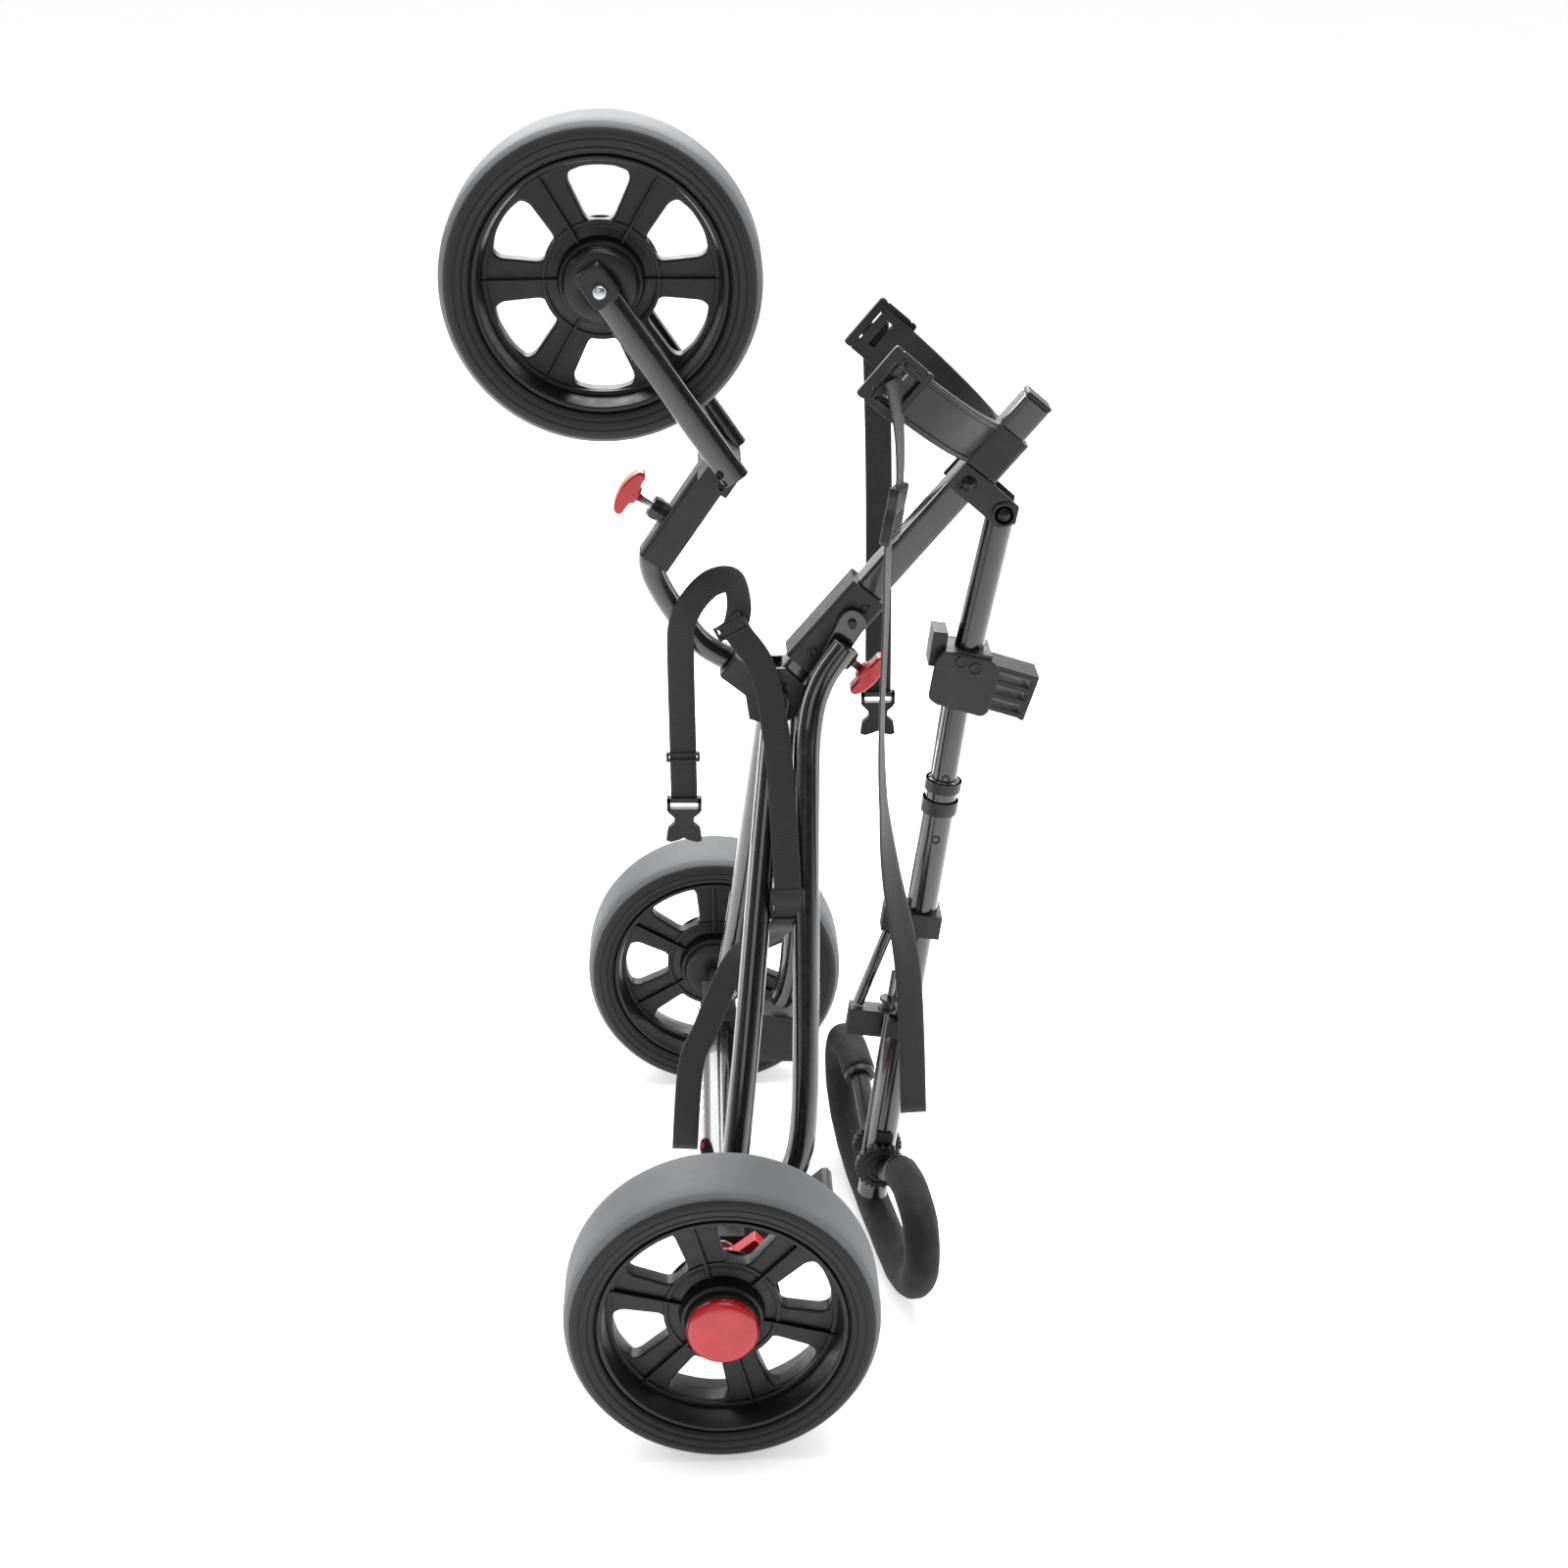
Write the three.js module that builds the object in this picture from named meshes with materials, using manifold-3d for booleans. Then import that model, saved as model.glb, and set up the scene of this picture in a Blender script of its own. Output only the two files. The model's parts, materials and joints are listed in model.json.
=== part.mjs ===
// Folding three-wheel golf bag cart, folded and standing on its rear wheels and handle.
// Millimetres, +Z up, Y along the rear axle, X from the front wheel's side to the handle's side.
import * as THREE from 'three';
import { mergeVertices } from 'three/addons/utils/BufferGeometryUtils.js';
import Module from 'manifold-3d';

const wasm = await Module();
wasm.setup();

// Driving sizes
const wheelRadius = 140;
const tyreWidth = 81;
const rimRadius = 112;
const hubRadius = 32;
const axleRadius = 6;
const rearTrack = 654;
const spineLength = 381;
const spineTube = 28;
const tubeWall = 1.6;
const legTube = 25;
const neckTube = 23;
const handleTube = spineTube; // it folds between the same cheeks
const hoopTube = 34;
const hoopHalfWidth = 190;
const webWidth = 25;
const webThickness = 1.8;
const gap = 0.3; // between touching pieces
const spineAngle = THREE.MathUtils.degToRad(49.7);
const steerAngle = THREE.MathUtils.degToRad(55.6);
const hoopYaw = THREE.MathUtils.degToRad(8.5);
const wheelFacets = 28;
const roundSides = 10;

// Places in the middle plane, as x and height above the rear axle
const knee = { x: 57.7, z: 454 }; // where the spine, legs and front arm meet
const frontHub = { x: -91.8, z: 843.8 };
const sleeveTop = { x: 11, z: 678 };
const sleeveLength = 112;

const finish = {
  blackTube: { color: 0x0b0b0d, roughness: 0.18, metalness: 0.6 },
  blackPlastic: { color: 0x151517, roughness: 0.55, metalness: 0 },
  tyre: { color: 0x6a6b6d, roughness: 0.75, metalness: 0 },
  rim: { color: 0x161618, roughness: 0.4, metalness: 0 },
  red: { color: 0xb01218, roughness: 0.35, metalness: 0 },
  steel: { color: 0x8d9094, roughness: 0.3, metalness: 1 },
  grip: { color: 0x1b1b1c, roughness: 0.9, metalness: 0 },
  web: { color: 0x111113, roughness: 0.85, metalness: 0 },
};

const cart = new THREE.Group();
cart.name = 'golf_cart';

function addPart(name, shape, look) {
  const geometry = shape.isBufferGeometry ? shape : toGeometry(shape);
  const mesh = new THREE.Mesh(geometry, new THREE.MeshStandardMaterial(finish[look]));
  mesh.name = name;
  cart.add(mesh);
}

// Booleans
function toSolid(geometry) {
  const bare = geometry.clone();
  bare.deleteAttribute('normal');
  bare.deleteAttribute('uv');
  const merged = mergeVertices(bare, 1e-3);
  return new wasm.Manifold(new wasm.Mesh({
    numProp: 3,
    vertProperties: new Float32Array(merged.attributes.position.array),
    triVerts: new Uint32Array(merged.index.array),
  }));
}

function toGeometry(solid) {
  const mesh = solid.getMesh();
  const geometry = new THREE.BufferGeometry();
  geometry.setAttribute('position', new THREE.BufferAttribute(mesh.vertProperties, 3));
  geometry.setIndex(new THREE.BufferAttribute(mesh.triVerts, 1));
  geometry.computeVertexNormals();
  return geometry;
}

const join = (first, ...rest) => rest.reduce((sum, g) => sum.add(toSolid(g)), toSolid(first));
const cut = (solid, ...tools) => tools.reduce((sum, g) => sum.subtract(toSolid(g)), solid);

// Shapes
const point = (x, y, z) => new THREE.Vector3(x, y, z);

// A step along a direction in the middle plane, and square to it on the left
function step(from, angle, along, left = 0) {
  return {
    x: from.x + Math.cos(angle) * along - Math.sin(angle) * left,
    z: from.z + Math.sin(angle) * along + Math.cos(angle) * left,
  };
}

function roundedShape(width, height, radius, hole = null) {
  const shape = new THREE.Shape();
  const w = width / 2;
  const h = height / 2;
  shape.moveTo(-w + radius, -h);
  shape.lineTo(w - radius, -h);
  shape.absarc(w - radius, -h + radius, radius, -Math.PI / 2, 0);
  shape.absarc(w - radius, h - radius, radius, 0, Math.PI / 2);
  shape.absarc(-w + radius, h - radius, radius, Math.PI / 2, Math.PI);
  shape.absarc(-w + radius, -h + radius, radius, Math.PI, Math.PI * 1.5);
  if (hole) {
    shape.holes.push(hole);
  }
  return shape;
}

function ringShape(outer, inner) {
  const shape = new THREE.Shape();
  shape.absarc(0, 0, outer, 0, Math.PI * 2);
  if (inner > 0) {
    const hole = new THREE.Path();
    hole.absarc(0, 0, inner, 0, Math.PI * 2, true);
    shape.holes.push(hole);
  }
  return shape;
}

// A tube along a path, open at both ends when it has a bore
function tubeAlong(path, outer, bore, steps) {
  return new THREE.ExtrudeGeometry(ringShape(outer / 2, bore / 2), {
    steps, extrudePath: path, bevelEnabled: false, curveSegments: roundSides / 2,
  });
}

function rod(from, to, diameter, bore = 0) {
  return tubeAlong(new THREE.LineCurve3(from, to), diameter, bore, 1);
}

// An outline in the middle plane, given thickness across it
function plate(shape, thickness, y = 0, segments = 6) {
  const geometry = new THREE.ExtrudeGeometry(shape, {
    depth: thickness, bevelEnabled: false, curveSegments: segments,
  });
  geometry.rotateX(Math.PI / 2);
  geometry.translate(0, y + thickness / 2, 0);
  return geometry;
}

function outline(...corners) {
  return new THREE.Shape(corners.map(([x, z]) => new THREE.Vector2(x, z)));
}

// A square bar from a place in the middle plane along a direction
function bar(from, angle, length, width, depth, corner, bore = 0, y = 0) {
  const hole = bore > 0 ? roundedShape(bore, bore, Math.max(corner - 1, 0.5)) : null;
  const geometry = new THREE.ExtrudeGeometry(roundedShape(width, depth, corner, hole), {
    depth: length, bevelEnabled: false, curveSegments: 3,
  });
  geometry.rotateY(Math.PI / 2);
  geometry.rotateX(Math.PI / 2);
  geometry.rotateY(-angle);
  geometry.translate(from.x, y, from.z);
  return geometry;
}

function block(place, angle, sizeX, sizeY, sizeZ, y = 0) {
  const geometry = new THREE.BoxGeometry(sizeX, sizeY, sizeZ);
  geometry.rotateY(-angle);
  geometry.translate(place.x, y, place.z);
  return geometry;
}

// A pin or bore across the middle plane
function crossPin(place, diameter, from, to, bore = 0) {
  return rod(point(place.x, from, place.z), point(place.x, to, place.z), diameter, bore);
}

// A turned piece about the Y axis at a place; the profile is [radius, y] pairs
function turned(profile, place, facets = 24) {
  const half = Math.PI / facets;
  const geometry = new THREE.LatheGeometry(
    profile.map(([r, y]) => new THREE.Vector2(r, y)), facets, half);
  geometry.translate(place.x, 0, place.z);
  return geometry;
}

// Wheels
const axle = { x: 0, z: 0 };
const boreRadius = axleRadius + gap;

function tyreProfile(centreY) {
  const flat = 1 / Math.cos(Math.PI / wheelFacets); // facets touch the rolling radius
  const half = tyreWidth / 2;
  const crown = wheelRadius * flat;
  const seat = rimRadius + gap;
  return [
    [seat, -half + 6], [seat + 4, -half + 1.5], [crown - 16, -half], [crown - 7, -half + 2],
    [crown - 2, -half + 8], [crown, -half + 18],
    [crown, half - 18], [crown - 2, half - 8], [crown - 7, half - 2], [crown - 16, half],
    [seat + 4, half - 1.5], [seat, half - 6], [seat, -half + 6],
  ].map(([r, y]) => [r, y + centreY]);
}

// A rounded trapezoid window between two spokes
function spokeWindow(angle, place, y) {
  const inner = 54;
  const outer = 99;
  const innerHalf = 15;
  const outerHalf = 29;
  const shape = new THREE.Shape();
  shape.moveTo(-innerHalf + 4, inner);
  shape.lineTo(innerHalf - 4, inner);
  shape.quadraticCurveTo(innerHalf, inner, innerHalf + 1.5, inner + 5);
  shape.lineTo(outerHalf - 2, outer - 12);
  shape.quadraticCurveTo(outerHalf, outer - 5, outerHalf - 8, outer - 2.5);
  shape.quadraticCurveTo(0, outer + 5, -outerHalf + 8, outer - 2.5);
  shape.quadraticCurveTo(-outerHalf, outer - 5, -outerHalf + 2, outer - 12);
  shape.lineTo(-innerHalf - 1.5, inner + 5);
  shape.quadraticCurveTo(-innerHalf, inner, -innerHalf + 4, inner);
  const cutter = plate(shape, tyreWidth, 0, 2);
  cutter.rotateY(angle);
  cutter.translate(place.x, y, place.z);
  return cutter;
}

function addWheel(prefix, place, y, firstSpoke, capSide, capLook, capHeight, capBore) {
  const half = tyreWidth / 2;
  addPart(`${prefix}_tyre`, turned(tyreProfile(y), place, wheelFacets), 'tyre');
  const webHalf = 9;
  const rimProfile = [
    [boreRadius, -half + 8], [hubRadius, -half + 8], [hubRadius + 4, -half + 15],
    [50, -webHalf], [100, -webHalf], [103, -half + 5], [rimRadius, -half + 5],
    [rimRadius, half - 5], [103, half - 5], [100, webHalf], [50, webHalf],
    [hubRadius + 4, half - 15], [hubRadius, half - 8], [boreRadius, half - 8],
    [boreRadius, -half + 8],
  ].map(([r, w]) => [r, w + y]);
  const windows = [];
  for (let i = 0; i < 6; i += 1) {
    windows.push(spokeWindow(firstSpoke + (i + 0.5) * Math.PI / 3, place, y));
  }
  addPart(`${prefix}_rim`, cut(toSolid(turned(rimProfile, place, wheelFacets)), ...windows), 'rim');
  const face = y + capSide * (half - 8 + gap);
  const top = face + capSide * capHeight;
  const profile = [
    [capBore, face], [hubRadius - 1, face], [hubRadius, face + capSide * 2],
    [hubRadius, top - capSide * 4], [hubRadius - 4, top - capSide], [capBore, top],
  ];
  if (capBore > 0) {
    profile.push([capBore, face]);
  }
  if (capSide < 0) {
    profile.reverse();
  }
  addPart(`${prefix}_hub_cap`, turned(profile, place, 28), capLook);
}

const halfTrack = rearTrack / 2;
const capHeight = 13;
const frontCapHeight = 9;
addWheel('near_wheel', axle, -halfTrack, -0.27, -1, 'red', capHeight, 0);
addWheel('far_wheel', axle, halfTrack, 0, 1, 'red', capHeight, 0);
addWheel('front_wheel', frontHub, 0, Math.PI / 6, -1, 'rim', frontCapHeight, axleRadius + gap);

// Spine: a square tube, with its cap, and everything fixed to it
const alongSpine = (along, left = 0) => step(knee, spineAngle, along, left);
const spineStart = -20;
const boltRadius = 4;
const cheek = 4;
const cheekY = spineTube / 2 + gap + cheek / 2;
const yokeY = cheekY + cheek + gap;
const lug = 5;
const lugY = yokeY + cheek / 2 + gap + lug / 2;
const boltBore = (place) => crossPin(place, 2 * (boltRadius + gap), -80, 80);

const spineBar = bar(alongSpine(spineStart), spineAngle, spineLength, spineTube, spineTube, 3,
  spineTube - 2 * tubeWall);
const bracketStart = 256;
addPart('spine_tube', cut(toSolid(spineBar), boltBore(knee), boltBore(alongSpine(bracketStart + 13))),
  'blackTube');
addPart('spine_end_cap', bar(alongSpine(spineStart + spineLength + gap), spineAngle, 5,
  spineTube, spineTube, 4), 'blackPlastic');

const cheekShape = outline([-24, -20], [2, -28], [26, -14], [32, 8], [10, 30], [-14, 30], [-28, 8]);
const kneePlates = [-cheekY, cheekY].map((y) => {
  const geometry = plate(cheekShape, cheek, y);
  geometry.translate(knee.x, 0, knee.z);
  return geometry;
});
const kneeBridge = block(alongSpine(2, -spineTube / 2 - gap - 3), spineAngle, 26, 2 * cheekY + 1, 6);
addPart('knee_bracket', cut(join(kneeBridge, ...kneePlates), boltBore(knee)), 'blackPlastic');
const boltEnd = lugY + lug / 2 + 5;
addPart('knee_bolt', crossPin(knee, 2 * boltRadius, -boltEnd, boltEnd), 'steel');
addPart('knee_rest_knob', rod(
  point(alongSpine(2, spineTube / 2 + gap).x, 0, alongSpine(2, spineTube / 2 + gap).z),
  point(alongSpine(2, spineTube / 2 + 11).x, 0, alongSpine(2, spineTube / 2 + 11).z), 13,
), 'blackPlastic');

// Drawn across the spine (Y, then square to it) and given its length along the spine
function acrossSpine(shape, start, length, segments = 6) {
  const geometry = new THREE.ExtrudeGeometry(shape, {
    depth: length, bevelEnabled: false, curveSegments: segments,
  });
  const sine = Math.sin(spineAngle);
  const cosine = Math.cos(spineAngle);
  const place = alongSpine(start);
  geometry.applyMatrix4(new THREE.Matrix4().makeBasis(
    point(0, 1, 0), point(-sine, 0, cosine), point(cosine, 0, sine)));
  geometry.translate(place.x, 0, place.z);
  return geometry;
}

// Bag cradle: a collar on the spine with two arms that spread to hold the bag
const cradleStart = 284;
const cradleLength = 44;
const cradleReach = 140;
const cradleSpread = 86;
const collarWall = 5;
const sleeveBore = spineTube + 2 * gap;
const bore = roundedShape(sleeveBore, sleeveBore, 3);
function cradleArm(sign) {
  const root = new THREE.Vector2(sign * 8, 15.5);
  const belly = new THREE.Vector2(sign * 70, 45);
  const tip = new THREE.Vector2(sign * cradleSpread, cradleReach);
  const inner = new THREE.QuadraticBezierCurve(root, belly, tip).getPoints(8);
  const outer = inner.map((p) => new THREE.Vector2(p.x + sign * 7, p.y - 3)).reverse();
  return acrossSpine(new THREE.Shape([...inner, ...outer]), cradleStart, cradleLength);
}
function strapSlot(sign) {
  const place = alongSpine(cradleStart + cradleLength / 2, cradleReach - 12);
  return block(place, spineAngle, webWidth + 2, 40, 6, sign * (cradleSpread + 1));
}
const cradleCollar = acrossSpine(
  roundedShape(sleeveBore + 2 * collarWall, sleeveBore + 2 * collarWall, 6), cradleStart,
  cradleLength, 3);
addPart('bag_cradle', cut(
  join(cradleCollar, cradleArm(-1), cradleArm(1)),
  acrossSpine(bore, cradleStart - 5, cradleLength + 10, 3), strapSlot(-1), strapSlot(1),
), 'blackPlastic');

// Handle bracket: cheeks on the spine that carry the fold bolt below it
const foldPivot = alongSpine(268, -43.6);
const bracketCorners = [[bracketStart, 15], [bracketStart + 26, 15], [bracketStart + 27, -14],
  [bracketStart + 26, -50], [bracketStart + 12, -58], [bracketStart - 1, -48]];
const bracketShape = outline(...bracketCorners.map(([a, n]) => {
  const place = alongSpine(a, n);
  return [place.x, place.z];
}));
const bracketPlace = alongSpine(bracketStart + 13);
const bracketBridge = block(alongSpine(bracketStart + 13, -spineTube / 2 - gap - 2), spineAngle,
  22, 2 * cheekY + 1, 4);
addPart('handle_bracket', cut(
  join(bracketBridge, ...[-cheekY, cheekY].map((y) => plate(bracketShape, cheek, y))),
  boltBore(foldPivot), boltBore(bracketPlace),
), 'blackPlastic');
const bracketBoltEnd = cheekY + cheek / 2 + 4;
addPart('fold_bolt', crossPin(foldPivot, 2 * boltRadius, -bracketBoltEnd, bracketBoltEnd), 'steel');
addPart('bracket_bolt', crossPin(bracketPlace, 2 * boltRadius, -bracketBoltEnd, bracketBoltEnd),
  'steel');

// Sliding collar with its locking pin and the red knob that pulls it
const collarStart = 40;
const collarLength = 94;
const strutPivot = alongSpine(104, -4);
const pinPlace = 69;
const collarOuter = spineTube + 2 * gap + 11;
const pinBore = rod(point(alongSpine(pinPlace, -10).x, 0, alongSpine(pinPlace, -10).z),
  point(alongSpine(pinPlace, -60).x, 0, alongSpine(pinPlace, -60).z), 8.6);
const pinBoss = rod(point(alongSpine(pinPlace, -17).x, 0, alongSpine(pinPlace, -17).z),
  point(alongSpine(pinPlace, -36).x, 0, alongSpine(pinPlace, -36).z), 20);
addPart('slide_collar', cut(
  join(acrossSpine(roundedShape(collarOuter, collarOuter, 4), collarStart, collarLength, 3), pinBoss,
    crossPin(strutPivot, 2 * boltRadius, -boltEnd, boltEnd)),
  acrossSpine(bore, collarStart - 5, collarLength + 10, 3), pinBore,
), 'blackPlastic');
function pullKnob(place, angle, length) {
  const half = length / 2;
  const shape = new THREE.Shape();
  shape.moveTo(-5, 0);
  shape.lineTo(5, 0);
  shape.quadraticCurveTo(8, 6, half - 1, 4);
  shape.quadraticCurveTo(half + 2, 6, half, 12);
  shape.quadraticCurveTo(0, 25, -half, 12);
  shape.quadraticCurveTo(-half - 2, 6, -half + 1, 4);
  shape.quadraticCurveTo(-8, 6, -5, 0);
  const geometry = plate(shape, 18, 0, 4);
  geometry.rotateY(-angle);
  geometry.translate(place.x, 0, place.z);
  return geometry;
}
const pinStart = spineTube / 2 + gap;
const pin = (from, to) => rod(point(from.x, 0, from.z), point(to.x, 0, to.z), 8);
addPart('collar_pin', pin(alongSpine(pinPlace, -pinStart), alongSpine(pinPlace, -46)), 'steel');
addPart('collar_knob', pullKnob(alongSpine(pinPlace, -46 - gap), spineAngle + Math.PI, 44), 'red');

// Rear legs: flattened eyes at the knee, then tubes that spread to the axle ends
const legFoot = { x: 10, y: 200, z: 26 };
function legPath(sign, points) {
  return new THREE.CatmullRomCurve3(points.map(([x, y, z]) => point(x, sign * y, z)));
}
function eyePlate(place, tail, sign) {
  const dx = tail.x - place.x;
  const dz = tail.z - place.z;
  const long = Math.hypot(dx, dz);
  const shape = new THREE.Shape();
  shape.absarc(0, 0, 13, Math.PI / 2, Math.PI * 1.5);
  shape.lineTo(long, -11);
  shape.lineTo(long, 11);
  const geometry = plate(shape, lug, sign * lugY);
  geometry.rotateY(-Math.atan2(dz, dx));
  geometry.translate(place.x, 0, place.z);
  return geometry;
}
for (const [side, sign] of [['near', -1], ['far', 1]]) {
  const path = legPath(sign, [[56, 36, 430], [44, 78, 320], [25, 152, 145],
    [legFoot.x, legFoot.y, legFoot.z]]);
  addPart(`rear_leg_${side}`, cut(
    join(tubeAlong(path, legTube, 0, 6), eyePlate(knee, { x: 55, z: 416 }, sign)),
    tubeAlong(legPath(sign, [[58, 29, 448], [56, 36, 430], [44, 78, 320], [25, 152, 145],
      [legFoot.x, legFoot.y, legFoot.z], [8, 205, 6]]), legTube - 2 * tubeWall, 0, 6),
    boltBore(knee),
  ), 'blackTube');
}
const strutOut = collarOuter / 2 + legTube / 2 + 0.7; // the struts pass beside the collar
for (const [side, sign] of [['near', -1], ['far', 1]]) {
  const run = [[122, strutOut, 512], [100, strutOut + 5, 480], [88, strutOut + 17, 440],
    [84.5, strutOut + 38, 360], [81, strutOut + 115, 100], [69, strutOut + 135, 34]];
  addPart(`strut_${side}`, cut(
    join(tubeAlong(legPath(sign, run), legTube, 0, 9), eyePlate(strutPivot, { x: 110, z: 498 }, sign)),
    tubeAlong(legPath(sign, [...run.slice(2), [66, strutOut + 141, 14]]), legTube - 2 * tubeWall, 0, 6),
    boltBore(strutPivot),
  ), 'blackTube');
}

// Rear axle: crossbar, end fittings, stub axles and knuckles
const barHalf = 155;
const fittingEnd = 245;
addPart('axle_crossbar', crossPin(axle, 37, -barHalf, barHalf, 33), 'blackTube');
const axleEnd = halfTrack + tyreWidth / 2 - 10;
addPart('rear_axle', crossPin(axle, 2 * axleRadius, -axleEnd, axleEnd), 'steel');
for (const [side, sign] of [['near', -1], ['far', 1]]) {
  const middle = sign * (barHalf + gap + fittingEnd) / 2;
  const body = block({ x: 4, z: 0 }, 0, 36, fittingEnd - barHalf - gap, 34, middle);
  const knuckle = outline([20, -30], [92, -34], [106, -18], [106, 25], [102, 30], [97, 30],
    [86, 20], [50, 24], [20, 14]);
  addPart(`axle_fitting_${side}`, cut(join(body, plate(knuckle, 34, sign * 170)),
    crossPin(axle, 2 * (axleRadius + gap), sign * (barHalf - 5), sign * (fittingEnd + 5))),
  'blackPlastic');
}
addPart('crossbar_clip', rod(point(-4, 120, 24), point(-18, 142, 40), 7), 'steel');

// Foot brake beside the near wheel
const brakeY = -264;
const brakeBar = outline([-12, -13], [13, -13], [26, 2], [40, 21], [31, 31], [9, 13], [-12, 13]);
const brakeClearance = 0.6; // the pedal rocks on the axle
addPart('brake_pedal', cut(toSolid(plate(brakeBar, 16, brakeY)),
  crossPin(axle, 2 * (axleRadius + brakeClearance), brakeY - 20, brakeY + 20)), 'red');

// Front arm: a bent round tube that ends in a yoke at the knee and carries the steering sleeve
const alongSteer = (along, left = 0) => step(sleeveTop, steerAngle, along, left);
const neckAngle = THREE.MathUtils.degToRad(142);
const fromKnee = (along) => step(knee, neckAngle, along, 0);
const corner = (() => {
  const u = [Math.cos(steerAngle), Math.sin(steerAngle)];
  const v = [Math.cos(neckAngle), Math.sin(neckAngle)];
  const det = u[0] * v[1] - u[1] * v[0];
  const dx = knee.x - sleeveTop.x;
  const dz = knee.z - sleeveTop.z;
  return (dx * v[1] - dz * v[0]) / det;
})();
const bend = 42;
const yokeReach = 48;
const at = (place) => point(place.x, 0, place.z);
const turnPlace = alongSteer(corner);
const neckSteer = at(alongSteer(-sleeveLength - 4));
const neckArm = (() => {
  const dx = knee.x - turnPlace.x;
  const dz = knee.z - turnPlace.z;
  const long = Math.hypot(dx, dz);
  return step(turnPlace, Math.atan2(dz, dx), Math.min(bend, long / 2));
})();
const neckPath = new THREE.CurvePath();
neckPath.add(new THREE.LineCurve3(at(alongSteer(4)), neckSteer));
neckPath.add(new THREE.QuadraticBezierCurve3(neckSteer, at(turnPlace), at(neckArm)));
neckPath.add(new THREE.LineCurve3(at(neckArm), at(fromKnee(yokeReach + 7.3 + gap))));
const yokeShape = new THREE.Shape();
yokeShape.absarc(0, 0, 13, Math.PI / 2, Math.PI * 1.5);
yokeShape.lineTo(yokeReach + 6, -12);
yokeShape.lineTo(yokeReach + 6, 12);
const yokePlates = [-yokeY, yokeY].map((y) => {
  const geometry = plate(yokeShape, cheek, y);
  geometry.rotateY(-neckAngle);
  geometry.translate(knee.x, 0, knee.z);
  return geometry;
});
const yokeBlock = block(fromKnee(yokeReach), neckAngle, 14, 2 * yokeY, 24);
addPart('front_arm_yoke', cut(join(yokeBlock, ...yokePlates), boltBore(knee)), 'blackPlastic');
addPart('front_arm_tube', tubeAlong(neckPath, neckTube, neckTube - 2 * tubeWall, 14), 'blackTube');

// Steering sleeve, its sprung pin and knob, and the fork
const sleeveDepth = 31;
const sleevePin = -70;
const forkThickness = 13;
const forkY = tyreWidth / 2 + 3 + forkThickness / 2;
const sleeveBar = bar(alongSteer(-sleeveLength), steerAngle, sleeveLength, sleeveDepth,
  sleeveDepth, 5);
const steerClearance = 1; // the sleeve turns on the neck
const steerBore = rod(at(alongSteer(-sleeveLength - 5)), at(alongSteer(14)),
  neckTube + 2 * steerClearance);
const crown = block(alongSteer(-4), steerAngle, 26, 2 * (forkY - forkThickness / 2 - gap), 30);
const plungerBoss = rod(at(alongSteer(sleevePin, 12)), at(alongSteer(sleevePin, 30)), 20);
const plungerBore = rod(at(alongSteer(sleevePin, 0)), at(alongSteer(sleevePin, 40)), 8.6);
addPart('steering_sleeve', cut(join(sleeveBar, crown, plungerBoss), steerBore, plungerBore), 'blackPlastic');
addPart('steering_pin', pin(alongSteer(sleevePin, neckTube / 2 + gap), alongSteer(sleevePin, 44)), 'steel');
addPart('steering_knob', pullKnob(alongSteer(sleevePin, 44 + gap), steerAngle, 44), 'red');

const forkEnd = { x: -103, z: 861 };
const forkFoot = alongSteer(4, -12);
for (const [side, sign] of [['near', -1], ['far', 1]]) {
  const from = point(forkEnd.x, sign * forkY, forkEnd.z);
  const to = point(forkFoot.x, sign * forkY, forkFoot.z);
  const long = from.distanceTo(to);
  const geometry = new THREE.ExtrudeGeometry(roundedShape(26, forkThickness, 6.2), {
    depth: long, bevelEnabled: false, curveSegments: 4,
  });
  const along = to.clone().sub(from).normalize();
  const wide = point(along.z, 0, -along.x).normalize();
  geometry.applyMatrix4(new THREE.Matrix4().makeBasis(wide, along.clone().cross(wide), along));
  geometry.translate(from.x, from.y, from.z);
  const axleHole = crossPin(frontHub, 2 * (axleRadius + gap), sign * 30, sign * 90);
  addPart(`fork_leg_${side}`, cut(toSolid(geometry), axleHole), 'blackTube');
}
const frontAxleEnd = forkY + 12;
addPart('front_axle', crossPin(frontHub, 2 * axleRadius, -frontAxleEnd, frontAxleEnd), 'steel');

// Handle: outer tube from the fold bolt, clamp, inner tube, and the sliding lower tube
const clampTop = { x: 233, z: 470 };
const tubeEnd = { x: 157, z: -98 };
const shaftAngle = Math.atan2(tubeEnd.z - clampTop.z, tubeEnd.x - clampTop.x);
const upperAngle = Math.atan2(clampTop.z - foldPivot.z, clampTop.x - foldPivot.x);
const alongShaft = (along, left = 0) => step(clampTop, shaftAngle, along, left);
const upperLength = Math.hypot(clampTop.x - foldPivot.x, clampTop.z - foldPivot.z);
const alongUpper = (along) => step(foldPivot, upperAngle, along);
addPart('handle_upper_tube', cut(toSolid(rod(at(alongUpper(-14)), at(alongUpper(upperLength - 12)),
  handleTube - 0.6, handleTube - 2 * tubeWall)), boltBore(foldPivot)), 'blackTube');
const innerTube = 24;
addPart('handle_inner_tube', rod(at(alongShaft(4)), at(alongShaft(300)), innerTube,
  innerTube - 2 * tubeWall), 'blackTube');
const lowerStart = 108;
const lowerOuter = 30;
const shaftLength = Math.hypot(tubeEnd.x - clampTop.x, tubeEnd.z - clampTop.z);

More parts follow.
